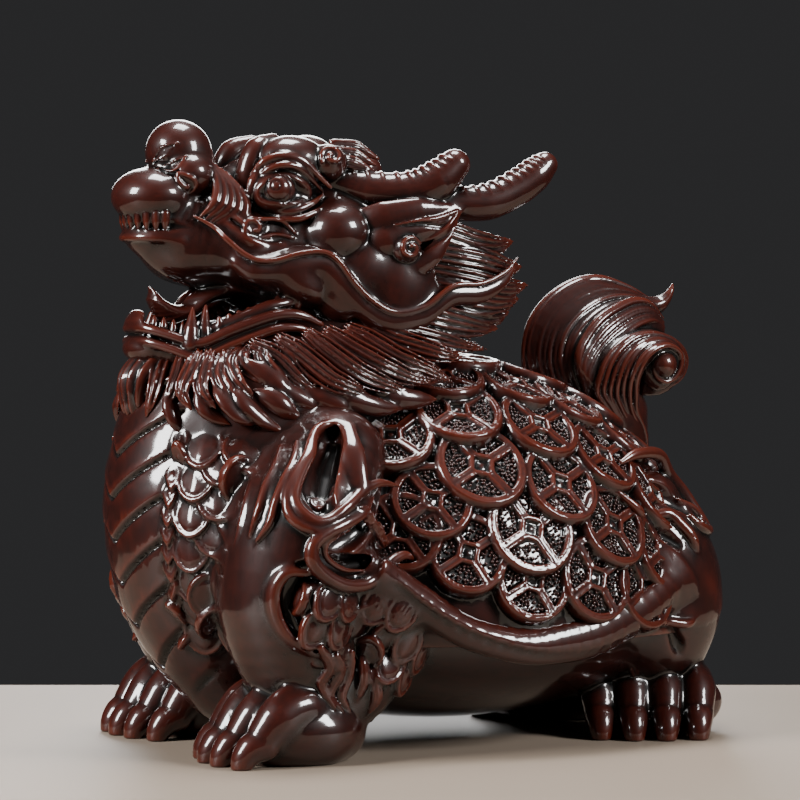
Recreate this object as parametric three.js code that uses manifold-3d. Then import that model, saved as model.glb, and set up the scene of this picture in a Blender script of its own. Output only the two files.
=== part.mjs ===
// A dragon turtle carved from one block of dark wood, standing on four clawed feet.
// Millimetres, +Z up. The head looks along -Y, and the origin is on the ground, under the figure's middle.
// +X is the animal's left. Everything on one side is made again on the other, except the tail's tip.
import * as THREE from "three";
import { mergeVertices } from "three/addons/utils/BufferGeometryUtils.js";
import Module from "manifold-3d";

const wasm = await Module();
wasm.setup();

// Driving dimensions
const groundZ = 0;
const facetsWanted = 9900;
const middleY = 2.5; // brings the middle of the figure over the origin
const shell = { centre: [0, 14, 48], across: 84, along: 118, high: 106, tilt: 18, cutZ: 44 };
const coin = { radius: 18.5, thick: 13, sides: 12, pitch: 32.5, lift: 9, proud: 3.6, hole: 8, deep: 2.4 };
const coinRows = [11, 25, 39.5, 53.5, 67, 79]; // degrees down from the ridge
const rim = { across: 87, along: 118, centreY: 4, lowZ: 37, frontRise: 62, backRise: 28 };
const stance = { frontX: 54, frontY: -78, rightBack: 8, backX: 30, backY: 94 };

const radians = THREE.MathUtils.degToRad;
const point = (p) => new THREE.Vector3(...p);
const mirrored = (p) => [-p[0], p[1], p[2]];

// Solids

function solid(geometry) {
  const bare = geometry.index ? geometry.toNonIndexed() : geometry.clone();
  for (const name of Object.keys(bare.attributes)) if (name !== "position") bare.deleteAttribute(name);
  const merged = mergeVertices(bare, 1e-3);
  const make = (triangles) =>
    new wasm.Manifold(
      new wasm.Mesh({ numProp: 3, vertProperties: merged.attributes.position.array, triVerts: triangles }),
    );
  const triangles = new Uint32Array(merged.index.array);
  const made = make(triangles);
  return made.volume() > 0 ? made : make(triangles.reverse());
}

// An ellipsoid, turned by degrees about X, then Z.
function ball(centre, radii, turn = [0, 0], wide = 10, high = 7) {
  const g = new THREE.SphereGeometry(1, wide, high).rotateX(Math.PI / 2).scale(...radii);
  g.rotateX(radians(turn[0])).rotateZ(radians(turn[1])).translate(...centre);
  return solid(g);
}

// A lathe-turned rod bent along a curve through the points. Its half width follows the radii, spread evenly
// from end to end, its half thickness is "flat" times that, and its broad side lies along "wide".
function rod(points, radii, { wide = [1, 0, 0], flat = 1, sides = 8, steps = 8, flutes = 0 } = {}) {
  const curve = new THREE.CatmullRomCurve3(points.map(point), false, "centripetal");
  const radiusAt = (t) => {
    const at = t * (radii.length - 1);
    const low = Math.min(Math.floor(at), radii.length - 2);
    return THREE.MathUtils.lerp(radii[low], radii[low + 1], at - low);
  };
  const profile = [new THREE.Vector2(0, 0)];
  for (let i = 0; i <= steps; i += 1) {
    const t = i / steps;
    if (radiusAt(t) > 0) profile.push(new THREE.Vector2(radiusAt(t), t));
  }
  profile.push(new THREE.Vector2(0, 1));
  const g = new THREE.LatheGeometry(profile, sides);
  const place = g.attributes.position;
  for (let i = 0; i < place.count; i += 1) {
    const t = place.getY(i);
    const angle = Math.atan2(place.getZ(i), place.getX(i));
    const groove = flutes * (0.5 - 0.5 * Math.cos((angle * sides) / 2));
    const reach = Math.hypot(place.getX(i), place.getZ(i)) * (1 - groove);
    const along = curve.getTangent(t);
    const broad = point(wide).addScaledVector(along, -point(wide).dot(along)).normalize();
    const thin = along.clone().cross(broad);
    const at = curve.getPoint(t);
    at.addScaledVector(broad, reach * Math.cos(angle)).addScaledVector(thin, reach * Math.sin(angle) * flat);
    place.setXYZ(i, at.x, at.y, at.z);
  }
  return solid(g);
}

const join = (pieces) => wasm.Manifold.union(pieces);

// The same rod on both sides of the animal.
function rodPair(points, radii, options = {}) {
  const other = { ...options, wide: mirrored(options.wide ?? [1, 0, 0]) };
  return [rod(points, radii, options), rod(points.map(mirrored), radii, other)];
}

function ballPair(centre, radii, turn = [0, 0], wide = 10, high = 7) {
  const other = ball(mirrored(centre), radii, [turn[0], -turn[1]], wide, high);
  return [ball(centre, radii, turn, wide, high), other];
}

// Shell

// A point of the dome: degrees down from the ridge, and distance along the shell's own length.
function domePoint(down, along) {
  const share = Math.sqrt(Math.max(0, 1 - (along / shell.along) ** 2));
  const local = point([
    shell.across * Math.sin(radians(down)) * share,
    along,
    shell.high * Math.cos(radians(down)) * share,
  ]);
  const scale = [shell.across ** -2, shell.along ** -2, shell.high ** -2];
  const out = local.clone().multiply(point(scale)).normalize();
  const tilt = new THREE.Matrix4().makeRotationX(-radians(shell.tilt));
  return { at: local.applyMatrix4(tilt).add(point(shell.centre)), out: out.applyMatrix4(tilt) };
}

function dome() {
  const whole = ball(shell.centre, [shell.across, shell.along, shell.high], [-shell.tilt, 0], 20, 12);
  return whole.subtract(solid(new THREE.BoxGeometry(400, 400, 200).translate(0, 0, shell.cutZ - 100)));
}

// An old coin with a square hole, laid on the dome as a roof tile is, its lower edge lifted.
function coinScale(down, along) {
  const { at, out } = domePoint(down, along);
  const lower = domePoint(down + Math.sign(down) * 4, along).at.sub(at).normalize();
  const side = lower.clone().cross(out).normalize();
  const facing = out.clone().applyAxisAngle(side, radians(coin.lift));
  const frame = new THREE.Matrix4().makeBasis(side, facing, side.clone().cross(facing));
  frame.setPosition(at.addScaledVector(facing, coin.proud - coin.thick / 2));
  const disc = new THREE.CylinderGeometry(coin.radius - 0.8, coin.radius, coin.thick, coin.sides);
  const hole = new THREE.BoxGeometry(coin.hole, coin.deep * 2, coin.hole).translate(0, coin.thick / 2, 0);
  return { disc: solid(disc.applyMatrix4(frame)), hole: solid(hole.applyMatrix4(frame)) };
}

function coins() {
  const made = [];
  coinRows.forEach((down, row) => {
    for (let k = -2; k <= 4; k += 1) {
      const along = coin.pitch * (k + (row % 2) / 2) - 21.9;
      if (along > -76 && along < 106) made.push(coinScale(down, along), coinScale(-down, along));
    }
  });
  return made;
}

// The rim's line round the shell: low at the sides, and rising to the shoulders and the rump.
function rimPoint(angle, out, up) {
  const front = -Math.cos(angle);
  const side = Math.sign(Math.sin(angle)) * Math.abs(Math.sin(angle)) ** 0.8;
  const rise = front < 0 ? rim.frontRise * Math.abs(front) ** 1.3 : rim.backRise * front ** 1.8;
  return [(rim.across + out) * side, rim.centreY + (rim.along + out) * front, rim.lowZ + rise + up];
}

function rimBand() {
  const parts = 36;
  const section = [
    [-9, 8],
    [2.5, 0],
    [0, -8],
    [-16, -8],
  ];
  const g = new THREE.TorusGeometry(1, 0.1, section.length, parts);
  const place = g.attributes.position;
  for (let i = 0; i < place.count; i += 1) {
    const [out, up] = section[Math.floor(i / (parts + 1)) % section.length];
    place.setXYZ(i, ...rimPoint(((i % (parts + 1)) % parts) * ((2 * Math.PI) / parts), out, up));
  }
  return solid(g);
}

// Body, chest and neck

function trunk() {
  return [
    ball([0, 12, 53], [79, 108, 45], [0, 0], 20, 10),
    ball([0, -84, 94], [56, 47, 62], [0, 0], 16, 12),
    ball([0, -68, 134], [48, 57, 44], [0, 0], 14, 10),
    rod([[0, -40, 120], [0, -30, 160], [0, -38, 200]], [44, 38, 28], { sides: 12, steps: 5 }),
  ];
}

// Broad plates down the front of the chest, and pointed scales beside them.
function chestScales() {
  const made = [];
  const fronts = [137.5, 139.5, 138, 134, 124];
  fronts.forEach((front, i) => {
    made.push(ball([0, 37 - front, 121 - i * 17.5], [29, 34, 10.5], [-6, 0], 12, 6));
  });
  for (let row = 0; row < 3; row += 1)
    for (let i = 0; i < 3; i += 1) {
      const turn = 40 + i * 17 + (row % 2) * 8;
      const z = 119 - row * 21 - i * 3;
      const bulge = Math.sqrt(1 - ((z - 94) / 62) ** 2);
      const at = [54 * bulge * Math.sin(radians(turn)), -84 - 46 * bulge * Math.cos(radians(turn)), z];
      made.push(...ballPair(at, [11, 5, 13], [-(z - 94) * 0.7, turn], 8, 4));
    }
  return made;
}

// Legs and feet

function foot(x, y, turn, size) {
  const made = [];
  const place = new THREE.Matrix4().makeRotationZ(radians(turn)).setPosition(x, y, groundZ);
  const at = (p) => point(p).applyMatrix4(place).toArray();
  const wide = point([1, 0, 0]).applyAxisAngle(new THREE.Vector3(0, 0, 1), radians(turn)).toArray();
  const sole = [[0, 20, 11], [0, 2, 12], [0, -16, 10]];
  made.push(rod(sole.map(at), [17 * size, 27 * size, 24 * size], { wide, flat: 0.62, sides: 10, steps: 4 }));
  for (let i = 0; i < 4; i += 1) {
    const side = (i - 1.5) * 14 * size;
    const reach = 5 * Math.cos((i - 1.5) * 0.9);
    const toe = [
      [side * 0.8, 4, 22], [side, -12 - reach, 24], [side, -20 - reach, 15], [side, -27 - reach, 8],
      [side, -32 - reach, 1],
    ];
    made.push(rod(toe.map(at), [6, 8.6, 8, 5, 1.6], { wide, sides: 7, steps: 6 }));
  }
  return made;
}

function legs() {
  const made = [];
  for (const side of [1, -1]) {
    const to = (p) => [p[0] * side, p[1], p[2]];
    const wide = [side, 0, 0];
    // Shoulder and upper arm, elbow behind, and the forearm coming down to the paw
    const back = side > 0 ? 0 : stance.rightBack;
    const arm = [
      [50, -62, 118], [57, -80 + back, 92], [57, -86 + back, 62], [55, -80 + back, 38], [54, -74 + back, 20],
    ];
    made.push(rod(arm.map(to), [20, 29, 28, 23, 18], { wide, sides: 12, steps: 8 }));
    made.push(
      rod([[58, -66, 70], [63, -48, 56], [62, -42, 44]].map(to), [22, 19, 12], { wide, sides: 8, steps: 4 }),
    );
    made.push(
      rod(
        [[62, -40, 46], [60, -58, 32], [56, -76 + back, 20]].map(to),
        [12, 17, 17],
        { wide, sides: 8, steps: 4 },
      ),
    );
    made.push(...foot(stance.frontX * side, stance.frontY + back, side * -4, 1));
    // Haunch and hind leg, the foot turned out
    made.push(ball(to([42, 86, 62]), [28, 34, 42], [12, 0], 14, 10));
    made.push(
      rod([[40, 92, 50], [36, 95, 28], [32, 94, 14]].map(to), [22, 18, 15], { wide, sides: 8, steps: 4 }),
    );
    made.push(...foot(stance.backX * side, stance.backY, side * 62, 0.98));
  }
  return made;
}

// Curling flame ridges at the shoulders and haunches
function flames() {
  const ridge = { sides: 6, flat: 1.2 };
  return [
    ...rodPair(
      [
        [52, -59, 136], [57, -73, 124], [64, -82, 112], [69, -88, 101], [74, -82, 96], [77, -70, 104],
        [78, -58, 110], [77, -43, 106],
      ],
      [2, 5, 5, 5, 5, 5, 4, 1.5],
      { ...ridge, steps: 14 },
    ),
    ...rodPair(
      [
        [77, -61, 105], [79, -76, 93], [80, -87, 84], [80, -82, 74], [82, -68, 70], [82, -56, 78],
        [80, -46, 80],
      ],
      [2, 5, 5, 5, 5, 4, 2],
      { ...ridge, steps: 13 },
    ),
    ...rodPair(
      [[70, -92, 66], [70, -95, 75], [72, -88, 79], [76, -78, 74]],
      [2, 4, 4, 2],
      { ...ridge, steps: 6 },
    ),
    ...rodPair(
      [[60, 52, 99], [40, 82, 105], [22, 106, 108], [22, 118, 94], [30, 121, 72], [32, 118, 44]],
      [3, 7, 7, 7, 7, 4],
      { ...ridge, steps: 12 },
    ),
    ...rodPair(
      [[63, 60, 98], [60, 77, 93], [55, 90, 87], [52, 102, 74], [49, 106, 56]],
      [2, 5, 5, 5, 3],
      { ...ridge, steps: 8 },
    ),
  ];
}

// Head

function head() {
  const edge = { sides: 6 };
  return [
    // Skull, snout and the deep upper jaw
    ball([0, -42, 208], [33, 36, 27], [0, 0], 14, 10),
    rod(
      [[0, -40, 196], [0, -72, 203], [0, -100, 208], [0, -120, 216], [0, -131, 220]],
      [32, 28, 21, 18, 10],
      { flat: 0.86, sides: 12, steps: 9 },
    ),
    rod(
      [[0, -60, 194], [0, -90, 196], [0, -114, 206], [0, -130, 214]],
      [22, 16, 12, 7],
      { sides: 9, steps: 6 },
    ),
    rod(
      [[0, -112, 228], [0, -92, 228], [0, -72, 234], [0, -50, 236]],
      [12, 10, 12, 14],
      { sides: 8, steps: 4 },
    ),
    // Round nose and its nostrils
    ball([0, -109, 239], [14, 15, 14.5], [0, 0], 12, 9),
    ...ballPair([11, -104, 231], [6, 8, 6.5], [0, 0], 8, 6),
    // Tufts of fur behind the nose
    ...[0, 1].flatMap((i) =>
      rodPair(
        [
          [9 + i * 4, -99 + i * 4, 238 - i * 6], [15 + i * 2.5, -94 + i * 4, 229 - i * 6],
          [14 + i * 3, -96 + i * 4, 219 - i * 4],
        ],
        [2.5, 3.5, 1.5],
        { ...edge, steps: 4 },
      ),
    ),
    // Eyes, their brows and the bumps above
    ...ballPair([22, -71, 224], [8.5, 9.5, 9], [0, 0], 10, 8),
    ...rodPair(
      [[17, -86, 219], [20, -82, 233], [22, -70, 242], [25, -56, 237], [27, -42, 226]],
      [3, 5, 7, 7, 3],
      { sides: 7, steps: 9 },
    ),
    ...rodPair([[21, -84, 214], [27, -72, 213], [27, -57, 217]], [2, 3, 2], { ...edge, steps: 5 }),
    ...ballPair([14, -58, 238], [10, 12, 8], [0, 0], 9, 7),
    // Cheeks
    ...ballPair([28, -48, 207], [13, 17, 12], [0, 0], 10, 7),
    ...ballPair([27, -62, 184], [9, 16, 6.5], [-12, 0], 9, 6),
    ...ballPair([31, -24, 186], [14, 18, 22], [0, 0], 9, 7),
    // Upper lip line, which trails off as a whisker below the ear
    ...rodPair(
      [
        [17, -112, 217], [23, -102, 206], [28, -88, 197], [31, -73, 199], [33, -60, 200], [36, -46, 187],
        [39, -30, 176], [41, -17, 179], [42, -5, 187], [42, 10, 188], [41, 24, 196],
      ],
      [2, 4, 4.5, 4, 4, 4, 4, 4, 4, 4, 1.5],
      { ...edge, steps: 18 },
    ),
    // Ears, each with a rolled inner curl
    ...rodPair(
      [[31, -38, 206], [37, -26, 205], [39, -12, 208], [41, -2, 215]],
      [7, 13, 8, 1.5],
      { wide: [0, 0.35, 1], flat: 0.36, sides: 8, steps: 6 },
    ),
    ...ballPair([40, -25, 201], [4.5, 6, 6], [0, 0], 8, 6),
  ];
}

function jaw() {
  return [
    rod(
      [[0, -36, 172], [0, -70, 166], [0, -100, 160], [0, -122, 162], [0, -133, 167]],
      [32, 27, 21, 15, 6],
      { flat: 0.5, sides: 12, steps: 7 },
    ),
    ...rodPair(
      [[4, -131, 171], [14, -124, 167], [22, -106, 163], [26, -90, 172], [29, -74, 175], [33, -54, 180]],
      [2.5, 4, 4, 4, 4, 3],
      { sides: 6, steps: 10 },
    ),
    // Tongue with its tip turned up
    rod(
      [[0, -60, 174], [0, -86, 178], [0, -102, 174], [0, -114, 178], [0, -122, 186]],
      [13, 12, 10, 7, 2],
      { flat: 0.4, sides: 8, steps: 6 },
    ),
  ];
}

function teeth() {
  const made = [];
  const tooth = { sides: 5, steps: 1 };
  for (let i = -3; i <= 3; i += 1) {
    const turn = radians(i * 21);
    const upper = [13 * Math.sin(turn), -120 - 12 * Math.cos(turn)];
    made.push(rod([[...upper, 214], [...upper, 205]], [3, 0.9], tooth));
    if (i) {
      const lower = [12 * Math.sin(turn), -120 - 10 * Math.cos(turn)];
      made.push(rod([[...lower, 165], [...lower, 173]], [2.9, 0.9], tooth));
    }
  }
  for (const [y, top] of [[-113, 177], [-107, 179]])
    made.push(...rodPair([[18, y, 162], [17.5, y + 1, top + 1]], [3.8, 0.9], tooth));
  return made;
}

// Antlers: a beam back from the brow with one upright tine, and the longer tine behind it
function horns() {
  return [
    ...rodPair(
      [[18, -50, 229], [25, -35, 223], [32, -18, 223], [37, -7, 231], [39, 1, 240]],
      [5, 7, 7.5, 7, 3.5],
      { sides: 9, steps: 9 },
    ),
    ...rodPair(
      [[31, -18, 221], [35, -2, 219], [38, 13, 219], [39, 27, 226], [40, 38, 234], [40, 44, 240]],
      [6, 6.5, 7, 7, 6.5, 3],
      { sides: 9, steps: 9 },
    ),
  ];
}

// Mane: flat pointed locks, laid in rows from the cheeks back over the shell and down the throat
function lock(from, bend, to, width, wide) {
  return rodPair(
    [from, bend, to],
    [width * 0.7, width, width * 0.9, width * 0.15],
    { flat: 0.42, sides: 6, steps: 5, wide },
  );
}

function mane() {
  const made = [];
  // Behind the cheeks
  for (let i = 0; i < 4; i += 1)
    made.push(
      ...lock(
        [28 - i, -26, 212 - i * 13], [34, 2, 204 - i * 12], [33 - i, 30 - Math.abs(i - 1) * 4, 203 - i * 11],
        10, [0, 0, 1],
      ),
    );
  // Below the jaw, sweeping back over the shoulder on to the shell
  for (let i = 0; i < 5; i += 1)
    made.push(
      ...lock(
        [34 - i * 0.5, -78 + i * 14, 163 - i * 1.5], [46, -58 + i * 16, 147 + i * 0.6],
        [50 - i * 3, -36 + i * 19, 133 + i * 3], 11, [0, 0.7, 1],
      ),
    );
  // Throat
  for (let i = 0; i < 4; i += 1) {
    const turn = radians(20 + i * 24);
    const reach = [Math.sin(turn), -Math.cos(turn)];
    made.push(
      ...lock(
        [30 * reach[0], -86 + 34 * reach[1], 157],
        [41 * reach[0], -84 + 41 * reach[1], 142],
        [45 * reach[0], -84 + 43 * reach[1], 122 + (i % 2) * 5],
        11,
        [-reach[1], reach[0], 0],
      ),
    );
  }
  made.push(
    rod([[0, -114, 158], [0, -128, 145], [0, -127, 124]], [8, 11, 9, 1.5], { flat: 0.5, sides: 6, steps: 5 }),
  );
  // Crest down the back of the neck
  for (let i = 0; i < 2; i += 1)
    made.push(
      ...lock(
        [10 + i * 9, -20, 224 - i * 9], [12 + i * 9, 8, 207 - i * 8], [12 + i * 9, 32, 190 - i * 9], 9,
        [1, 0, 0],
      ),
    );
  const nape = [[0, -20, 228], [0, 12, 206], [0, 36, 176]];
  made.push(rod(nape, [9, 11, 9, 2], { flat: 0.5, sides: 6, steps: 5 }));
  return made;
}

// Tail: locks that rise from the rump, fan forward and roll back over into a scroll
function tail() {
  const made = [ball([0, 92, 157], [21, 25, 25], [10, 0], 12, 8)];
  made.push(
    rod([[0, 94, 84], [0, 97, 110], [0, 94, 132], [0, 88, 150]], [17, 14, 17, 20], { sides: 10, steps: 5 }),
  );
  const wave = [[0, 99, 108], [0, 78, 136], [0, 67, 160], [0, 84, 181], [0, 104, 177], [0, 117, 162]];
  made.push(rod(wave, [16, 20, 23, 23, 22, 20], { sides: 20, steps: 12, flat: 0.42, flutes: 0.12 }));
  made.push(rod([[22, 108, 155], [-22, 108, 155]], [9, 10, 9], { wide: [0, 1, 0], sides: 10, steps: 2 }));
  made.push(rod([[-8, 108, 176], [-6, 116, 178], [-4, 119, 188]], [7, 4.5, 0.8], { sides: 6, steps: 3 }));
  return made;
}

function carving() {
  const scales = coins();
  const shellBack = join([dome(), ...scales.map((scale) => scale.disc)]);
  const whole = join([
    shellBack.subtract(join(scales.map((scale) => scale.hole))),
    rimBand(),
    ...trunk(),
    ...chestScales(),
    ...legs(),
    ...flames(),
    ...head(),
    ...jaw(),
    ...teeth(),
    ...horns(),
    ...mane(),
    ...tail(),
  ]);
  // The feet are cut flat where they stand
  const belowGround = solid(new THREE.BoxGeometry(400, 400, 200).translate(0, 0, groundZ - 100));
  return whole.subtract(belowGround);
}

// Facets

const planeTerms = (a, b, c, d) => [a * a, a * b, a * c, a * d, b * b, b * c, b * d, c * c, c * d, d * d];

function offPlanes(q, [x, y, z]) {
  return (
    q[0] * x * x + q[4] * y * y + q[7] * z * z + q[9] +
    2 * (q[1] * x * y + q[2] * x * z + q[5] * y * z + q[3] * x + q[6] * y + q[8] * z)
  );
}

function cross3(a, b, c) {
  const u = [b[0] - a[0], b[1] - a[1], b[2] - a[2]];
  const v = [c[0] - a[0], c[1] - a[1], c[2] - a[2]];
  return [u[1] * v[2] - u[2] * v[1], u[2] * v[0] - u[0] * v[2], u[0] * v[1] - u[1] * v[0]];
}

// Merges the edges that carry the least shape until the wanted number of facets is left. The surface stays closed,
// no facet turns over, and what stands on the ground stays on it.
function lighten(vertices, facets, wanted) {
  const around = vertices.map(() => new Set());
  const planes = vertices.map(() => new Array(10).fill(0));
  const stamp = vertices.map(() => 0);
  facets.forEach((facet, f) => {
    const n = cross3(...facet.map((v) => vertices[v]));
    const length = Math.hypot(...n) || 1e-12;
    const [a, b, c] = n.map((value) => value / length);
    const d = -(a * vertices[facet[0]][0] + b * vertices[facet[0]][1] + c * vertices[facet[0]][2]);
    const terms = planeTerms(a, b, c, d);
    for (const v of facet) {
      around[v].add(f);
      terms.forEach((term, i) => (planes[v][i] += term * (length + 0.5)));
    }
  });
  const neighbours = (v) => new Set([...around[v]].flatMap((f) => facets[f]).filter((other) => other !== v));
  const grounded = (v) => Math.abs(vertices[v][2] - groundZ) < 1e-3;

  const heap = [];
  const push = (entry) => {
    let i = heap.push(entry) - 1;
    while (i > 0 && heap[(i - 1) >> 1].cost > heap[i].cost) {
      [heap[i], heap[(i - 1) >> 1]] = [heap[(i - 1) >> 1], heap[i]];
      i = (i - 1) >> 1;
    }
  };
  const pop = () => {
    const first = heap[0];
    const last = heap.pop();
    if (heap.length) {
      heap[0] = last;
      for (let i = 0; ; ) {
        let least = i;
        for (const child of [2 * i + 1, 2 * i + 2])
          if (child < heap.length && heap[child].cost < heap[least].cost) least = child;
        if (least === i) break;
        [heap[i], heap[least]] = [heap[least], heap[i]];
        i = least;
      }
    }
    return first;
  };
  const offer = (u, v) => {
    const [p, q] = [vertices[u], vertices[v]];
    const places = [p, q, p.map((value, i) => (value + q[i]) / 2)];
    const allowed = grounded(u) === grounded(v) ? places : [grounded(u) ? p : q];
    const length = Math.hypot(...p.map((x, i) => x - q[i]));
    const sum = planes[u].map((term, i) => term + planes[v][i]);
    for (const to of allowed)
      push({ u, v, to, stamps: [stamp[u], stamp[v]], cost: offPlanes(sum, to) + 1e-5 * length });
  };
  facets.forEach(([a, b, c]) => {
    for (const [u, v] of [[a, b], [b, c], [c, a]]) if (u < v) offer(u, v);
  });

  let left = facets.length;
  const gone = new Set();
  while (left > wanted && heap.length) {
    const { u, v, to, stamps } = pop();
    if (gone.has(u) || gone.has(v) || stamps[0] !== stamp[u] || stamps[1] !== stamp[v]) continue;
    const ringV = neighbours(v);
    if ([...neighbours(u)].filter((other) => ringV.has(other)).length !== 2) continue;
    const closes = (f) => facets[f].includes(u) && facets[f].includes(v);
    const keeps = [...around[u], ...around[v]].filter((f) => !closes(f));
    const holds = keeps.every((f) => {
      const before = cross3(...facets[f].map((w) => vertices[w]));
      const after = cross3(...facets[f].map((w) => (w === u || w === v ? to : vertices[w])));
      const [was, is] = [Math.hypot(...before), Math.hypot(...after)];
      const agree = before[0] * after[0] + before[1] * after[1] + before[2] * after[2];
      return is > 0.02 && agree > 0.35 * was * is;
    });
    if (!holds) continue;
    vertices[u] = to;
    planes[u] = planes[u].map((term, i) => term + planes[v][i]);
    for (const f of [...around[v]]) {
      if (facets[f].includes(u)) {
        for (const w of facets[f]) around[w].delete(f);
        facets[f] = null;
        left -= 1;
      } else {
        facets[f] = facets[f].map((w) => (w === v ? u : w));
        around[u].add(f);
      }
    }
    gone.add(v);
    stamp[u] += 1;
    for (const w of neighbours(u)) offer(u, w);
  }
  return facets.filter(Boolean);
}

// The outer skin alone: what is sealed inside the wood is wood too.
function outerSkin(count, facets) {
  const parent = Array.from({ length: count }, (_, v) => v);
  const root = (v) => {
    while (parent[v] !== v) v = parent[v] = parent[parent[v]];
    return v;
  };
  for (const [a, b, c] of facets) {
    parent[root(b)] = root(a);
    parent[root(c)] = root(a);
  }
  const sizes = new Map();
  for (const [a] of facets) sizes.set(root(a), (sizes.get(root(a)) ?? 0) + 1);
  const largest = [...sizes].sort((p, q) => q[1] - p[1])[0][0];
  return facets.filter(([a]) => root(a) === largest);
}

function meshOf(manifold, name, material) {
  const mesh = manifold.getMesh();
  const vertices = [];
  for (let i = 0; i < mesh.numVert; i += 1)
    vertices.push([...mesh.vertProperties.subarray(i * mesh.numProp, i * mesh.numProp + 3)]);
  const facets = [];
  for (let i = 0; i < mesh.numTri; i += 1) facets.push([...mesh.triVerts.subarray(i * 3, i * 3 + 3)]);
  const kept = lighten(vertices, outerSkin(vertices.length, facets), facetsWanted);
  const geometry = new THREE.BufferGeometry().setFromPoints(kept.flat().map((v) => point(vertices[v])));
  geometry.translate(0, middleY, 0);
  const made = new THREE.Mesh(mergeVertices(geometry, 1e-4), material);
  made.geometry.computeVertexNormals();
  made.name = name;
  return made;
}

const darkWood = new THREE.MeshStandardMaterial({ color: 0x3a1512, roughness: 0.3, metalness: 0 });
const figurine = new THREE.Group();
figurine.add(meshOf(carving(), "dragon_turtle", darkWood));
export default figurine;
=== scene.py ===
# A dragon turtle carved from one block of dark, lacquered hardwood.
import math
import time
import bpy
import numpy as np
import openvdb
from mathutils import Matrix, Vector


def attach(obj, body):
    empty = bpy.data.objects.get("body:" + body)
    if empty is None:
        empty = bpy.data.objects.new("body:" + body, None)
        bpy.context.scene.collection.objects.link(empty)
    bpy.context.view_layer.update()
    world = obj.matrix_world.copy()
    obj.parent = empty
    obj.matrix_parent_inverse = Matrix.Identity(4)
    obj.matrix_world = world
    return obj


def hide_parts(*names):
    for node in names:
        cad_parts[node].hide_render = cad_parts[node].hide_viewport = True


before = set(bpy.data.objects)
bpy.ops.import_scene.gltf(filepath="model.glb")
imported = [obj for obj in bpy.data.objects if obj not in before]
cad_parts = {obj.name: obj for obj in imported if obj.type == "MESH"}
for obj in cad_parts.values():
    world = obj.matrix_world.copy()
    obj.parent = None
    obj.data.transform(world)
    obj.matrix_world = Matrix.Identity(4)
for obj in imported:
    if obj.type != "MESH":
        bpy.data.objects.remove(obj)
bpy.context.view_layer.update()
started = time.time()
middleY = 2.5  # mm, from the carver's drawing frame to the row frame
farAway = 6.0  # mm, the longest distance that the clay keeps


def report(words):
    print(f"{time.time() - started:6.1f} s  {words}")


# Clay: a block of distances in mm, negative inside the wood, from which each piece's surface is taken.
# Only the animal's left half is filled. The right half is its mirror image, and what differs is added after.

class Clay:
    def __init__(self, low, high, step):
        self.step = step
        self.low = np.array([step / 2, low[1], low[2]])
        count = np.ceil((np.array(high) - self.low) / step).astype(int) + 1
        self.value = np.full(count, farAway, np.float32)

    def both(self):
        self.value = np.concatenate([self.value[::-1], self.value], axis=0)
        self.low[0] = -self.low[0] - self.step * (self.value.shape[0] // 2 - 1)

    def block(self, low, high):
        first = np.floor((np.asarray(low) - self.low) / self.step).astype(int)
        last = np.ceil((np.asarray(high) - self.low) / self.step).astype(int) + 1
        first = np.clip(first, 0, self.value.shape)
        last = np.clip(last, 0, self.value.shape)
        if (last <= first).any():
            return None
        axes = [(self.low[k] + self.step * np.arange(first[k], last[k])).astype(np.float32) for k in range(3)]
        where = tuple(slice(first[k], last[k]) for k in range(3))
        return where, axes[0][:, None, None], axes[1][None, :, None], axes[2][None, None, :]

    def join(self, where, distance, soft):
        old = self.value[where]
        if soft <= 0:
            np.minimum(old, distance, out=old)
            return
        share = np.clip(0.5 + 0.5 * (old - distance) / soft, 0, 1)
        self.value[where] = old + (distance - old) * share - soft * share * (1 - share)

    def cut(self, where, distance, soft):
        old = -self.value[where]
        share = np.clip(0.5 + 0.5 * (old - distance) / max(soft, 0.01), 0, 1)
        self.value[where] = -(old + (distance - old) * share - soft * share * (1 - share))

    def at(self, points):
        index = np.rint((points - self.low) / self.step).astype(int)
        index = np.clip(index, 0, np.array(self.value.shape) - 1)
        return self.value[index[:, 0], index[:, 1], index[:, 2]]


def unit(v):
    return v / max(np.linalg.norm(v), 1e-6)


def inFrame(x, y, z, at, axes):
    # Where the clay's places lie along three directions from a point
    x, y, z = x - np.float32(at[0]), y - np.float32(at[1]), z - np.float32(at[2])
    return [x * axis[0] + y * axis[1] + z * axis[2] for axis in axes]


def cutBelow(clay, level, soft):
    where, x, y, z = clay.block((-200, -200, -200), (200, 200, 200))
    clay.cut(where, (z - np.float32(level)) + 0 * x + 0 * y, soft)


def sided(side, path, back=0):
    # A path of the left side, or its mirror image, set back along the animal
    return [(p[0] * side, p[1] + back, p[2]) for p in path]


def turned(x, y, z, turn):
    # Into the frame of something turned by degrees about X, then Z
    a, b = math.radians(turn[1]), math.radians(turn[0])
    x, y = x * math.cos(a) + y * math.sin(a), -x * math.sin(a) + y * math.cos(a)
    y, z = y * math.cos(b) + z * math.sin(b), -y * math.sin(b) + z * math.cos(b)
    return x, y, z


def ball(clay, centre, radii, turn=(0, 0), soft=2.0):
    centre, radii = np.array(centre, float), np.array(radii, float)
    reach = (radii if turn == (0, 0) else np.full(3, radii.max())) + soft + 2 * clay.step
    found = clay.block(centre - reach, centre + reach)
    if found is None:
        return
    where, x, y, z = found
    x, y, z = turned(x - np.float32(centre[0]), y - np.float32(centre[1]), z - np.float32(centre[2]), turn)
    away = np.sqrt((x / radii[0]) ** 2 + (y / radii[1]) ** 2 + (z / radii[2]) ** 2)
    slope = np.sqrt((x / radii[0] ** 2) ** 2 + (y / radii[1] ** 2) ** 2 + (z / radii[2] ** 2) ** 2)
    distance = (away * (away - 1) / np.maximum(slope, 1e-6)).astype(np.float32)
    clay.join(where, distance, soft)


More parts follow.
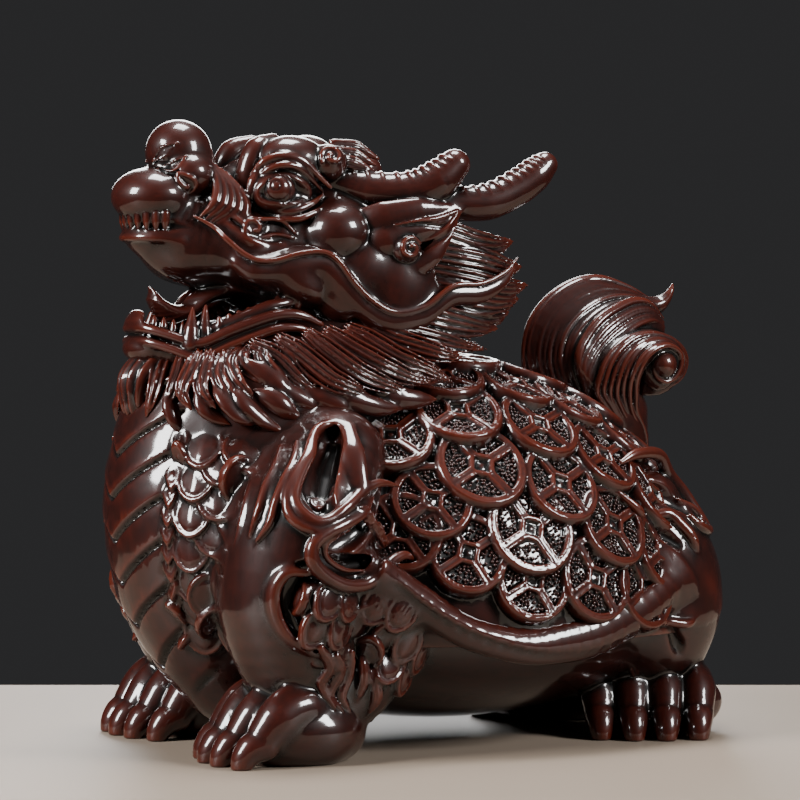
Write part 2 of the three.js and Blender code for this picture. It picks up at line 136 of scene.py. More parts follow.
def smoothPath(points, parts):
    # Catmull-Rom through the points, at evenly spread parameters
    p = np.array(points, float)
    if len(p) == 2:
        return p[0] + (p[1] - p[0]) * np.linspace(0, 1, parts + 1)[:, None]
    p = np.vstack([2 * p[0] - p[1], p, 2 * p[-1] - p[-2]])
    out = []
    for t in np.linspace(0, len(points) - 1, parts + 1):
        i = min(int(t), len(points) - 2)
        u = t - i
        a, b, c, d = p[i:i + 4]
        out.append(0.5 * (2 * b + (c - a) * u + (2 * a - 5 * b + 4 * c - d) * u * u
                          + (3 * b - a - 3 * c + d) * u ** 3))
    return np.array(out)


def rod(clay, points, radii, wide=(1, 0, 0), flat=1.0, parts=0, soft=1.2, cut=False,
        grooves=0, deep=0.0, cap=1.0):
    # A rod along a curve. Grooves run along it, and its ends are as round as "cap" says.
    parts = parts or max(4, 5 * (len(points) - 1))
    path = smoothPath(points, parts)
    size = np.interp(np.linspace(0, len(radii) - 1, parts + 1), np.arange(len(radii)), radii)
    reach = size.max() * max(1, flat) + soft + 2 * clay.step
    found = clay.block(path.min(0) - reach, path.max(0) + reach)
    if found is None:
        return
    where, bx, by, bz = found
    origin = [where[k].start for k in range(3)]
    local = np.full((bx.shape[0], by.shape[1], bz.shape[2]), farAway, np.float32)
    for i in range(parts):
        a, b = path[i], path[i + 1]
        along = b - a
        length = np.linalg.norm(along)
        if length < 1e-4:
            continue
        along = along / length
        broad = unit(np.array(wide, float) - np.dot(wide, along) * along)
        thin = np.cross(along, broad)
        grow = max(size[i], size[i + 1]) * max(1, flat) + soft + 2 * clay.step
        part = clay.block(np.minimum(a, b) - grow, np.maximum(a, b) + grow)
        if part is None:
            continue
        inner, x, y, z = part
        run, across, through = inFrame(x, y, z, a, (along, broad, thin))
        share = np.clip(run / length, 0, 1)
        over = run - share * length
        r = size[i] + (size[i + 1] - size[i]) * share
        away = np.sqrt((across / r) ** 2 + (through / (r * flat)) ** 2 + (over / (r * cap)) ** 2)
        distance = (away - 1) * r * min(1, flat)
        if grooves:
            distance = distance + deep * (0.5 - 0.5 * np.cos(math.pi * grooves * across / r)) * np.minimum(1, r / 3)
        place = tuple(slice(inner[k].start - origin[k], inner[k].stop - origin[k]) for k in range(3))
        np.minimum(local[place], distance.astype(np.float32), out=local[place])
    (clay.cut if cut else clay.join)(where, local, soft)


def skin(clay, name, facets, material, reach=3.0):
    # The clay's surface as a mesh in metres, with how proud or sunk each place is, from which the wood's colour takes
    # painted shade in the hollows and a painted highlight on the ridges
    grid = openvdb.FloatGrid(background=farAway)
    grid.copyFromArray(np.clip(clay.value, -3 * clay.step, 3 * clay.step).astype(np.float32))
    points, quads = grid.convertToQuads(0.0)
    points = points.astype(np.float64) * clay.step + clay.low
    mesh = bpy.data.meshes.new(name)
    mesh.vertices.add(len(points))
    mesh.vertices.foreach_set("co", ((points + [0, middleY, 0]) / 1000).astype(np.float32).ravel())
    quads = quads[:, ::-1].astype(np.int32)
    mesh.loops.add(quads.size)
    mesh.loops.foreach_set("vertex_index", quads.ravel())
    mesh.polygons.add(len(quads))
    mesh.polygons.foreach_set("loop_start", np.arange(0, quads.size, 4, dtype=np.int32))
    mesh.update(calc_edges=True)
    piece = bpy.data.objects.new(name, mesh)
    bpy.context.collection.objects.link(piece)
    faces = 2 * len(quads)
    if faces > facets:
        thin = piece.modifiers.new("Thin", "DECIMATE")
        thin.ratio = facets / faces
        mesh = bpy.data.meshes.new_from_object(piece.evaluated_get(bpy.context.evaluated_depsgraph_get()))
        piece.modifiers.clear()
        old = piece.data
        piece.data = mesh
        bpy.data.meshes.remove(old)
    mesh.name = name
    count = len(mesh.vertices)
    place = np.empty(count * 3, np.float32)
    mesh.vertices.foreach_get("co", place)
    place = place.reshape(-1, 3) * 1000.0 - [0, middleY, 0]
    total = np.zeros(count)
    around = [(1, 0, 0), (0, 1, 0), (0, 0, 1), (0.6, 0.6, 0.6), (0.6, 0.6, -0.6), (0.6, -0.6, 0.6), (-0.6, 0.6, 0.6)]
    for way in around:
        for sign in (-reach, reach):
            total += clay.at(place + np.array(way) * sign)
    # This value drives the painted shade in the hollows and the painted highlight on the ridges
    proud = mesh.attributes.new("proud", "FLOAT", "POINT")
    proud.data.foreach_set("value", np.clip(0.5 + total / (2 * len(around)) / reach, 0, 1).astype(np.float32))
    mesh.shade_smooth()
    mesh.materials.append(material)
    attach(piece, "root")
    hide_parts("dragon_turtle")
    report(f"{name}: {faces} facets thinned to {sum(len(p.vertices) - 2 for p in mesh.polygons)}")


# Shell: old coins with square holes, laid like roof tiles

shellShape = {
    "fine": 0.62, "facets": 196000,
    "centre": (0, 14, 48), "across": 84, "along": 118, "high": 106, "tilt": 18, "cutZ": 44,
    # Degrees down from the ridge, place along the shell, and radius of each coin on the left
    "coins": [
        (10, -34, 18), (10, -2, 18), (10, 30, 18), (10, 62, 18), (10, 94, 18), (24, -48, 18), (24, -16, 17),
        (24, 9, 17), (25, 36, 17), (26, 66, 18), (27, 97, 18), (39, -46.5, 19), (40, -12, 18), (42, 19.5, 17.5),
        (43, 50, 18), (44, 80, 18), (47, -72, 18), (56, -39, 19.5), (56, -4.5, 18), (61, 22.5, 18), (60, 52, 18),
        (60, 80, 17), (67, -57, 17), (69, -16.5, 19.5), (72, 44, 17), (78, -40.5, 17), (80, -12, 17), (75, 16.5, 18),
        (76, -66, 17),
    ],
    "thick": 12, "lift": 5.5, "proud": 3.6, "sinkAlong": 0.01,
    # The pattern is drawn on a coin of this radius, and scaled to each
    "drawn": 18.5, "petalOuter": 14.6, "petalInner": 5.2, "bar": 3.1, "square": 2.8, "edge": 17.3,
}


def domePoint(down, along):
    s = shellShape
    share = math.sqrt(max(0.0, 1 - (along / s["along"]) ** 2))
    a = math.radians(down)
    local = Vector((s["across"] * math.sin(a) * share, along, s["high"] * math.cos(a) * share))
    out = Vector((local.x / s["across"] ** 2, local.y / s["along"] ** 2, local.z / s["high"] ** 2)).normalized()
    tilt = Matrix.Rotation(-math.radians(s["tilt"]), 3, "X")
    return tilt @ local + Vector(s["centre"]), tilt @ out


def coinFrames():
    # Centre, side, facing and downhill direction, and radius of each coin on the left
    s = shellShape
    made = []
    for down, along, radius in s["coins"]:
        at, out = domePoint(down, along)
        lower = (domePoint(down + 4, along)[0] - at).normalized()
        side = lower.cross(out).normalized()
        facing = Matrix.Rotation(math.radians(s["lift"]), 3, side) @ out
        made.append((at + facing * (s["proud"] - s["sinkAlong"] * along), side, facing, side.cross(facing), radius))
    return made


def petalEdge(r, u, v):
    # Distance from the nearest petal's edge, negative inside the petal
    s = shellShape
    a, b = np.maximum(np.abs(u), np.abs(v)), np.minimum(np.abs(u), np.abs(v))
    return np.maximum(np.maximum(r - s["petalOuter"], s["petalInner"] - a), (b - a + s["bar"]) * 0.707)


def coinRelief(r, u, v):
    # Height above the coin's face: a broad rim and cross, four sunk petals with a beaded edge, and the square hole
    s = shellShape
    petal, square = petalEdge(r, u, v), np.maximum(np.abs(u), np.abs(v)) - s["square"]
    high = -2.0 * np.clip(0.5 - petal / 0.7, 0, 1)
    high += 0.45 * np.exp(-((petal - 0.7) / 0.45) ** 2)
    high += 0.4 * np.exp(-((square - 0.7) / 0.45) ** 2) - 1.9 * np.clip(0.5 - square / 0.7, 0, 1)
    high += 1.3 * np.clip(-square / s["square"], 0, 1)
    high += 0.3 * np.exp(-((r - s["edge"]) / 0.5) ** 2) - 1.7 * np.clip((r - s["edge"]) / 1.2, 0, 1) ** 2
    return high


def coin(clay, centre, side, facing, downhill, radius):
    s = shellShape
    reach = radius + 3
    found = clay.block(np.array(centre) - reach, np.array(centre) + reach)
    if found is None:
        return
    where, x, y, z = found
    u, v, w = inFrame(x, y, z, centre, (side, downhill, facing))
    r = np.sqrt(u * u + v * v)
    full = s["drawn"] / radius
    top = w - coinRelief(r * full, u * full, v * full)
    wall = r - radius - np.clip(-w, 0, 20) * 0.06
    distance = np.maximum(np.maximum(top, wall), -w - s["thick"])
    clay.join(where, distance.astype(np.float32), 0)


def makeShell(material):
    s = shellShape
    clay = Clay((0, -112, 38), (94, 132, 168), s["fine"])
    ball(clay, s["centre"], (s["across"], s["along"], s["high"]), (-s["tilt"], 0), 0.5)
    for place in coinFrames():
        coin(clay, *place)
    cutBelow(clay, s["cutZ"], 0.5)
    clay.both()
    skin(clay, "coin_shell", s["facets"], material)
    return clay


def sample(clay, points):
    # Distance at any places, blended between the clay's own
    place = (np.atleast_2d(points) - clay.low) / clay.step
    place = np.clip(place, 0, np.array(clay.value.shape) - 1.001)
    first = place.astype(int)
    t = place - first
    total = np.zeros(len(place))
    for i in range(8):
        corner = np.array([i & 1, i >> 1 & 1, i >> 2])
        share = np.prod(np.where(corner, t, 1 - t), axis=1)
        x, y, z = (first + corner).T
        total += share * clay.value[x, y, z]
    return total


def settle(clay, point):
    # The nearest place on the surface, found in seven steps, and which way it faces
    point = np.array(point, float)
    steps = np.vstack([np.eye(3), -np.eye(3)]) * 1.6 * clay.step
    for _ in range(7):
        around = sample(clay, point + steps)
        slope = (around[:3] - around[3:]) / (3.2 * clay.step)
        length = max(np.linalg.norm(slope), 0.15)
        point = point - slope / length * sample(clay, point)[0] * min(1, 1 / length)
    return point, unit(slope)


def laid(clay, points, rise):
    # The points brought on to the surface, or a little above or below it. One that is far from it stays where it is.
    path = []
    for point in points:
        at, out = settle(clay, point)
        path.append(at + out * rise if np.linalg.norm(at - np.array(point)) < 6 else np.array(point, float))
    return path


def emboss(clay, low, high, relief):
    # Raises or sinks the surface that is there by relief(x, y, z), in mm
    found = clay.block(low, high)
    if found is not None:
        where, x, y, z = found
        clay.value[where] -= relief(x, y, z).astype(np.float32)


def leaf(clay, point, down, wide, long, lift, thick, proud, lines=0, pointed=1.5):
    # A pointed scale lying on the surface, its tip lifted, with a raised edge
    at, out = settle(clay, point)
    if abs(sample(clay, at)[0]) > 1 or np.linalg.norm(at - np.array(point)) > 12:
        return
    side = unit(np.cross(down, out))
    tip = np.cross(out, side)
    a = math.radians(lift)
    out, tip = out * math.cos(a) - tip * math.sin(a), tip * math.cos(a) + out * math.sin(a)
    at = at + out * proud
    reach = max(wide, long) + 2
    found = clay.block(at - reach, at + reach)
    if found is None:
        return
    where, x, y, z = found
    u, v, w = inFrame(x, y, z, at, (side, tip, out))
    power = np.where(v > 0, pointed, 2.0)
    edge = ((np.abs(u) / wide) ** power + (np.abs(v) / long) ** power) ** (1 / power)
    inside = (1 - edge) * wide
    high = 0.9 * (1 - np.minimum(edge, 1) ** 2) - 0.7 * np.exp(-((inside - 2.1) / 0.7) ** 2)
    if lines:
        high = high - 0.4 * (0.5 - 0.5 * np.cos(2 * math.pi * lines * u / wide)) * np.clip((inside - 1.5) / 2, 0, 1)
    distance = np.maximum(np.maximum(w - high, -inside), -w - thick)
    clay.join(where, distance.astype(np.float32), 0.25)


# Body: trunk, chest, rim, legs, and the flames at the shoulders and haunches

bodyShape = {
    "fine": 0.75, "facets": 196000,
    "band": {"parts": 32, "round": 0.42, "behind": (5, 0, 3.5), "behindSize": 6.5},
    "rim": {"parts": 60, "first": 46, "across": 87, "along": 118, "centreY": 4, "lowZ": 37, "frontRise": 62,
            "backRise": 28},
    "plate": {"pitch": 17.0, "slant": 0.72, "first": 33.6, "swell": 0.8, "groove": 1.9, "halfWide": 27},
    "foot": {"frontX": 54, "frontY": -78, "rightBack": 8, "backX": 30, "backY": 94},
}


def rimPoint(angle, out, up):
    r = bodyShape["rim"]
    front = -math.cos(angle)
    side = math.copysign(abs(math.sin(angle)) ** 0.8, math.sin(angle))
    rise = r["frontRise"] * abs(front) ** 1.3 if front < 0 else r["backRise"] * front ** 1.8
    return np.array([(r["across"] + out) * side, r["centreY"] + (r["along"] + out) * front, r["lowZ"] + rise + up])


def rim(clay):
    # The broad band along the flank, whose rear end is cut square, and a plain one round the rump
    band, rump = bodyShape["band"], bodyShape["rim"]
    upper = smoothPath([(84, -58, 79), (81, -47, 73), (81, -38.8, 67.9), (83, -19.5, 55.3), (84, 4.4, 49.4),
                        (84, 24.3, 50.1), (82, 45.6, 53.4), (76, 69.7, 63.7), (68, 83.3, 73)], band["parts"])
    lower = smoothPath([(85, -60, 75), (84.5, -50.5, 71), (85, -42, 64), (86, -21.1, 52.1), (87, 2.7, 44),
                        (86, 21.5, 42.2), (84, 41, 45), (78, 69, 55), (69, 91.4, 68.4)], band["parts"])
    middle, across = (upper + lower) / 2, lower - upper
    for i in range(band["parts"]):
        size = np.linalg.norm(across[i]) / 2 + 1.4
        rod(clay, middle[i:i + 2], [size, size], across[i], band["round"], parts=1, soft=0.6, cap=0.3)
        rod(clay, middle[i:i + 2] - band["behind"], [band["behindSize"]] * 2, across[i], 0.8, parts=1, soft=2)
    for i in range(rump["first"], rump["parts"]):
        a, b = (math.pi * (i + k) / rump["parts"] for k in (0, 1))
        outward = rimPoint((a + b) / 2, 2.5, 0) - rimPoint((a + b) / 2, -9, 8)
        for out, up, wide, size, flat in [(-3.6, 3.0, outward, 7.4, 0.34), (-5.5, -3.2, outward, 6.6, 0.75)]:
            rod(clay, [rimPoint(a, out, up), rimPoint(b, out, up)], [size, size], wide, flat, parts=1, soft=0.8)


def chest(clay):
    p = bodyShape["plate"]
    # Broad plates, pointed down at the middle, with a narrow groove between them
    front = [(0, -100, 132), (0, -103, 118), (0, -105, 103), (0, -103.5, 86), (0, -99, 68), (0, -89, 51),
             (0, -80, 36)]
    rod(clay, front, [28, 30.5, 31.5, 31.5, 31.5, 31, 28], (1, 0, 0), soft=6)

    def plates(x, y, z):
        step = (z - p["slant"] * np.abs(x) - p["first"]) / p["pitch"]
        share = step - np.floor(step)
        edge = np.minimum(share, 1 - share) * p["pitch"]
        high = p["swell"] * (1 - share) - p["groove"] * np.exp(-(edge / 0.9) ** 2)
        mask = np.clip((p["halfWide"] - x) / 2, 0, 1) * np.clip((-100 - y) / 5, 0, 1)
        return high * mask * np.clip((z - 22) / 8, 0, 1)

    emboss(clay, (0, -144, 20), (32, -95, 150), plates)
    # Small leaves down the border, then larger round scales out to the arm
    for i in range(12):
        z = 126 - i * 7.2
        at = (30.5 - 0.5 * i, -121.5 - 2.5 * math.sin(math.pi * min(1, i / 8)), z)
        leaf(clay, at, (0.12, 0, -1), 3.4, 6.4, 15, 2.6, 0.9, pointed=1.25)
    for k, (x, y, first) in enumerate([(38.5, -115.5, 124), (45.5, -110, 117), (51.5, -103, 124)]):
        for i in range(7):
            z = first - i * 13.6
            leaf(clay, (x - i * 0.7, y - 2.5 * math.sin(math.pi * i / 6), z),
                 (0.1 * k, 0, -1), 8.6, 9.6, 13, 3.4, 0.9, 1, 1.75)


def foot(clay, x, y, turn, size, side):
    c, s = math.cos(math.radians(turn)), math.sin(math.radians(turn))

    def at(p):
        return (x + p[0] * c - p[1] * s, y + p[0] * s + p[1] * c, p[2])

    wide = (c, s, 0)
    sole = [(0, 10, 11.5), (0, 0, 12), (0, -14, 11)]
    rod(clay, [at(p) for p in sole], [20 * size, 26 * size, 25 * size], wide, 0.66, soft=3, cap=0.7)
    ball(clay, at((side * 15 * size, -4, 12.5)), (12.5, 19, 12.5), soft=4)
    for i in range(4):
        across = (i - 1.5) * 13.6 * size
        reach = 5 * math.cos((i - 1.5) * 0.9)
        # Two knuckles, a ridge along the toe, and a short blunt claw
        toe = [(across * 0.7, 8, 19), (across * 0.92, -7 - reach, 22.5), (across, -17 - reach, 19),
               (across, -23 - reach, 12.5)]
        rod(clay, [at(p) for p in toe], [6, 8.2, 8.4, 7.2], wide, 1.1, soft=1.6)
        ball(clay, at((across * 0.97, -13 - reach, 22)), (7.2, 6.5, 6.5), soft=1.5)
        top = [(across * 0.8, 2, 28), (across * 0.93, -8 - reach, 31.2), (across, -18 - reach, 27.4),
               (across, -24 - reach, 19.5)]
        rod(clay, [at(p) for p in top], [0.8, 1.8, 1.9, 0.9], wide, soft=3.5)
        claw = [(across, -24 - reach, 10), (across, -29 - reach, 8), (across, -32.5 - reach, 4),
                (across, -34 - reach, -1)]
        rod(clay, [at(p) for p in claw], [7.0, 6.2, 5.0, 3.6], wide, 1.0, soft=0.2)


def foreleg(clay, side, back):
    wide = (side, 0, 0)
    arm = [(50, -62, 118), (57, -80 + back, 92), (57, -86 + back, 62), (55, -80 + back, 38), (54, -74 + back, 20)]
    rod(clay, sided(side, arm), [20, 29, 28, 23, 18], wide, soft=6)
    rod(clay, sided(side, [(58, -66, 70), (63, -48, 56), (62, -42, 44)]), [22, 19, 12], wide, soft=5, cap=0.4)
    rod(clay, sided(side, [(62, -40, 46), (60, -58, 32), (56, -76 + back, 20)]), [12, 17, 17], wide, soft=5, cap=0.4)
    foot(clay, bodyShape["foot"]["frontX"] * side, bodyShape["foot"]["frontY"] + back, side * -4, 1, side)
    # The smooth upper arm stands over the forearm with a curved edge
    sleeve = [(86, -84, 77), (85, -92, 76), (82, -99, 76), (79.5, -103, 70), (79, -103, 62), (80, -99, 53),
              (81.5, -92, 47), (82, -84, 43)]
    inside = [(p[0] + 1.5, p[1] + 5.0, p[2] - 0.5) for p in sleeve]
    rod(clay, sided(side, inside, back), [2.0, 3.4, 4.8, 5.0, 4.8, 4.2, 3.0, 1.5], (0, 0, 1), soft=1.5, cut=True)
    rod(clay, sided(side, sleeve, back), [0.6, 1.5, 2.2, 2.4, 2.4, 2.0, 1.4, 0.6], (0, 0, 1), soft=3.0)
    # Scales over the forearm and the elbow, their tips forward and down
    for x, y, z, wider, lines in [
        (81, -92, 66, 5.6, 0), (84, -83, 65, 7.2, 0), (82, -87, 55, 7.2, 1), (83, -72, 64, 7.2, 4),
        (81, -77, 54, 7.4, 1), (82, -60, 62, 7.2, 4), (80, -66, 52, 7.4, 1), (81, -50, 59, 6.8, 4),
        (79, -55, 48, 7.4, 1), (77, -63, 42, 6.6, 0), (75, -45, 47, 7.0, 1), (75, -52, 38, 7.0, 0),
        (70, -38, 42, 6.4, 0), (71, -44, 33, 6.4, 0), (80, -82, 46, 6.2, 0), (80, -73, 44, 6.2, 0),
    ]:
        leaf(clay, sided(side, [(x, y, z)], back)[0], (0, -0.75, -1), wider, wider * 1.3, 13, 3.2, 1.0, lines, 1.7)
    # Wavy hair down the ankle
    for path in [
        [(84, -86, 47), (80.5, -80, 40), (77, -82, 32), (75, -77, 20)],
        [(81, -79, 44), (79, -75, 36), (77, -78, 28), (76, -73, 20)],
        [(79, -71, 44), (77, -70, 36), (76, -73, 27), (75, -69, 20)], [(77, -64, 41), (75, -63, 33), (73, -66, 25)],
        [(73, -58, 36), (71, -58, 28), (69, -61, 21)], [(69, -52, 32), (66, -53, 25), (64, -56, 18)],
    ]:
        lockRod(clay, laid(clay, sided(side, path, back), 0.6), 3.0, (0, 1, 0.2), 3, 0.6, 0.7)


def lockRod(clay, points, width, wide, grooves, deep=0.8, flat=0.42):
    # A flat pointed lock of hair, with ridges that run along it
    radii = [width * 0.6, width * 0.92, width, width * 0.9, width * 0.6, width * 0.12]
    rod(clay, points, radii, wide, flat, soft=0.5, grooves=grooves, deep=deep)


def hindleg(clay, side):
    ball(clay, (42 * side, 86, 62), (28, 34, 42), (12, 0), 6)
    rod(clay, sided(side, [(40, 92, 50), (36, 95, 28), (32, 94, 14)]), [22, 18, 15], (side, 0, 0), soft=6)
    foot(clay, bodyShape["foot"]["backX"] * side, bodyShape["foot"]["backY"], side * 62, 0.98, side)
    for k in range(6):
        y, z = 72 + k * 6, 40 - abs(k - 2)
        lockRod(clay, sided(side, [(50, y, z + 2), (54, y + 2, z - 7), (51, y + 6, z - 15)]), 4.0, (0, 1, 0.2), 3)


def shoulder(clay, side):
    # Two hollows and the ribbon of ridges that curls round them
    wide = (side * 0.3, 0.9, 0)
    rod(clay, sided(side, [(64, -64, 131), (73, -67, 121), (78, -68, 110), (79, -68, 104)]), [3, 5.6, 5.6, 4],
        (side * 0.47, 0.88, 0), 0.5, soft=1.0)
    for path, radii in [
        ([(58, -67, 131), (67, -73, 125.5), (73, -79, 117), (79, -85, 108.5), (82, -84, 102)],
         [2.0, 5.0, 6.0, 6.8, 5.0]),
        ([(64, -70, 123), (70, -76, 115), (76, -81, 107)], [3, 5, 5]),
        ([(78, -57, 101), (70, -49, 102)], [4.2, 4.5]),
        ([(79, -62, 95), (83, -69, 91), (86, -78, 87), (85, -85, 84), (84, -77, 79), (78, -64, 79)],
         [3.5, 5, 5.6, 4.6, 4.6, 3]),
    ]:
        rod(clay, sided(side, path), radii, (0, 0, 1), soft=1.2, cut=True)
    for i in range(3):
        leaf(clay, ((78 - i) * side, -84 + i * 6, 103 + i * 1.5), (0, -0.4, -1), 3.4, 4.0, 14, 2.4, 0.8)
    rod(clay, sided(side, [(84, -68, 99), (79, -60, 93), (74, -53, 86)]), [3.4, 3.2, 3.0],
        (side * 0.3, 0.5, 0.8), 0.45, soft=0.4, grooves=7, deep=0.8)
    for path, radii in [
        ([(60, -60, 133), (60, -73, 131.5), (64, -79, 127), (70, -83, 121), (74, -88.5, 115), (77.5, -93, 109),
          (80.5, -95, 103.5), (84, -93, 98.5), (86, -88, 95.5), (86, -82, 96.5), (84.5, -74, 101.5), (80, -65, 107),
          (78, -57, 109.5), (75, -47, 108)],
         [0.8, 1.8, 2.2, 2.2, 2.3, 2.4, 2.4, 2.5, 2.6, 2.6, 2.5, 2.3, 1.8, 0.7]),
        ([(66, -82, 126), (71, -86, 120), (74.5, -92, 113.5), (77.5, -97, 106), (81, -98, 99), (84.5, -94.5, 94.5),
          (87, -87, 92), (87, -79, 94), (84, -71, 99), (79, -62, 105)],
          [0.8, 1.6, 1.9, 2.0, 2.1, 2.2, 2.2, 2.0, 1.7, 0.8]),
        ([(60, -84, 126), (68, -89, 119), (73, -96, 111), (75.5, -101, 103), (76, -104, 95), (73, -108, 88)],
         [0.6, 1.7, 2.0, 1.9, 1.5, 0.6]),
        ([(54, -88, 124), (62, -94, 117), (67, -101, 108.5), (70, -106, 99), (69, -109, 90)],
         [0.6, 1.5, 1.8, 1.6, 0.6]),
        ([(48, -93, 121), (55, -99, 113), (60, -105, 104), (62, -109, 94), (61, -111, 86)],
         [0.6, 1.4, 1.7, 1.5, 0.6]),
        ([(78, -60, 104), (83.5, -67, 98.5), (86.5, -76, 94.5), (87.5, -85, 91), (87.5, -90.5, 87), (87.5, -91, 81),
          (87, -86, 75.5), (86, -77, 71), (83.5, -67, 70.5), (82, -60, 73.5), (79, -52, 79), (77, -45, 81),
          (74, -39, 78)],
         [0.8, 2.0, 2.4, 2.6, 2.8, 3.0, 3.0, 2.9, 2.7, 2.6, 2.3, 1.8, 0.8]),
        ([(84, -73, 92), (86.5, -80, 90), (87.5, -85.5, 86.5), (87, -84.5, 81.5), (86, -77, 77), (83, -67, 76)],
         [0.5, 1.1, 1.3, 1.3, 1.1, 0.5]),
    ]:
        rod(clay, sided(side, path), radii, wide, soft=0.9)


def haunch(clay, side):
    # Two curled ribbons over the hip, with hollows between them
    rod(clay, sided(side, [(52, 66, 98), (44, 88, 102), (38, 98, 94), (38, 104, 82), (40, 106, 66), (40, 108, 48)]),
        [5, 8, 9, 10, 12, 10], (side, 0, 0), 1.0, soft=4)
    rod(clay, sided(side, [(56, 60, 94), (56, 76, 86), (53, 88, 76), (50, 96, 66)]), [6, 8, 8, 7], (side, 0, 0), 0.9,
        soft=3)
    for path, radii in [
        ([(62, 70, 106), (57, 83, 103.5), (54, 92, 97), (53, 97, 90)], [2.5, 5.0, 4.6, 2.5]),
        ([(68, 72, 89), (66, 80, 85.5), (63, 87, 79)], [2.0, 3.6, 2.0]),
        ([(62, 95, 70), (60, 101, 63), (56, 107, 56), (51, 112, 47)], [2.5, 4.8, 4.2, 1.2]),
        ([(70, 84, 44), (69, 89, 36), (66, 93, 28)], [2.5, 3.2, 2.0]),
    ]:
        rod(clay, laid(clay, sided(side, path), 0.6), radii, (0, 0, 1), soft=1.4, cut=True)
    for path, radii in [
        ([(56, 66, 114), (53, 76, 117.5), (47, 90, 116.5), (44.5, 98.5, 111), (43, 106, 101.5), (44, 111, 91),
          (47, 110.5, 84.5), (51, 106.5, 82.5), (55, 99.5, 84), (57, 95.5, 88)],
          [1.0, 2.2, 2.6, 2.8, 2.8, 2.6, 2.2, 2.0, 1.7, 0.9]),
        ([(53, 96, 98), (50, 103, 93), (50, 106.5, 87.5), (53, 103, 85.5)], [0.8, 1.6, 1.6, 0.8]),
        ([(67, 58, 103), (69, 66.7, 95.5), (68.5, 71.6, 93.5), (66, 78.7, 95), (64, 85.3, 94.5), (63, 89.5, 88.5),
          (62, 94, 79.7), (58, 102, 73)],
         [0.9, 1.8, 2.0, 2.1, 2.2, 2.2, 2.0, 1.0]),
        ([(72, 70, 56), (73, 75, 50.7), (72, 80.4, 48), (68, 90, 49.2), (62, 98, 53)], [0.8, 1.6, 1.8, 1.6, 0.8]),
        ([(64, 96, 66), (62, 101, 60), (60, 104, 53)], [0.8, 1.8, 0.8]),
    ]:
        rod(clay, laid(clay, sided(side, path), 1.0), radii, (side, 0, 0), 1.1, soft=0.9)


def makeBody(material):
    clay = Clay((0, -144, -3), (95, 140, 172), bodyShape["fine"])
    ball(clay, (0, 12, 53), (79, 108, 45), soft=4)
    ball(clay, (0, -84, 94), (56, 47, 62), soft=8)
    ball(clay, (0, -68, 134), (48, 57, 44), soft=8)
    rod(clay, [(0, -40, 120), (0, -30, 160), (0, -38, 172)], [44, 38, 34], soft=6)
    rod(clay, [(0, 94, 84), (0, 97, 110), (0, 94, 132)], [17, 14, 17], soft=4)
    rim(clay)
    chest(clay)
    clay.both()
    for side, back in ((1, 0), (-1, bodyShape["foot"]["rightBack"])):
        foreleg(clay, side, back)
        hindleg(clay, side)
        shoulder(clay, side)
        haunch(clay, side)
    cutBelow(clay, 0, 0.3)
    skin(clay, "body", bodyShape["facets"], material)


# Head: snout, brows, eyes, antlers, ears, and the open mouth with its teeth and tongue

headShape = {
    "fine": 0.5, "facets": 190000,
    "eye": (22, -74, 225), "eyeSize": 7.4, "iris": 5.0, "pupil": 2.0,
    "frontTeeth": 6, "toothLong": 7.6,
}


def snout(clay):
    ball(clay, (0, -42, 208), (32, 36, 27), soft=5)
    rod(clay, [(0, -40, 196), (0, -72, 203), (0, -98, 209), (0, -112, 215)], [32, 28, 20, 15], flat=0.86, soft=5,
        cap=0.5)
    rod(clay, [(0, -60, 194), (0, -90, 198), (0, -110, 206)], [22, 15, 11], soft=4, cap=0.6)
    rod(clay, [(0, -100, 224), (0, -90, 222.5), (0, -74, 228), (0, -50, 234)], [10, 9, 12, 14], soft=4)
    rod(clay, [(0, -116, 210), (0, -108, 203), (0, -96, 199)], [14, 14, 14], soft=4)
    # Round upper lip, and under it a sunk strip where the front teeth stand
    ball(clay, (0, -118.5, 222), (17, 16.6, 11.8), soft=2.5)
    strip = [(0, -133.5, 211), (8, -131, 211), (13.5, -125.5, 211), (16.5, -118, 210.5), (17.5, -110, 209.5)]
    ball(clay, (0, -115, 208), (15.8, 15, 9.5), soft=2.5)
    rod(clay, strip, [3.2, 3.3, 3.3, 2.8, 1.2], (0, 0, 1), soft=0.5, cut=True)
    rod(clay, [(0, -130.3, 205.6), (7.5, -128.5, 205.6), (12.8, -123, 205.2), (15.5, -114, 204.5)],
        [1.1, 1.2, 1.1, 0.7], soft=2.2)
    # Round nose with leaf-shaped folds and a scrolled nostril
    ball(clay, (0, -107, 240), (12.5, 13.4, 13), (-12, 0), 3)
    ball(clay, (10, -106, 231), (8, 9.5, 8), soft=3)
    ball(clay, (0, -101, 232), (13, 9, 11), soft=3)
    for path in [
        [(3, -120, 236), (8, -119, 241), (12.5, -113, 243.5)],
        [(3, -120, 236), (10, -118, 237.5), (12.5, -113, 243.5)],
        [(7, -120, 231.5), (12, -115, 236), (14, -110, 238)], [(7, -120, 231.5), (13, -114, 232), (14, -110, 238)],
    ]:
        rod(clay, laid(clay, path, 0.3), [0.35, 0.7, 0.35], soft=0.5)
        rod(clay, laid(clay, [(p[0], p[1], p[2] - 0.9) for p in path], -0.1), [0.3, 0.75, 0.3], soft=0.4, cut=True)
    curl(clay, (13.5, -110, 227.5), 4.2, 0.9, 1.2, flip=1, start=2.0, outward=(0.85, -0.5, 0))


def upright(outward):
    # A direction, and the two across it that a curl or a ring lies in
    out = unit(np.array(outward, float))
    level = unit(np.cross(out, (0, 0, 1)))
    return out, level, np.cross(out, level)


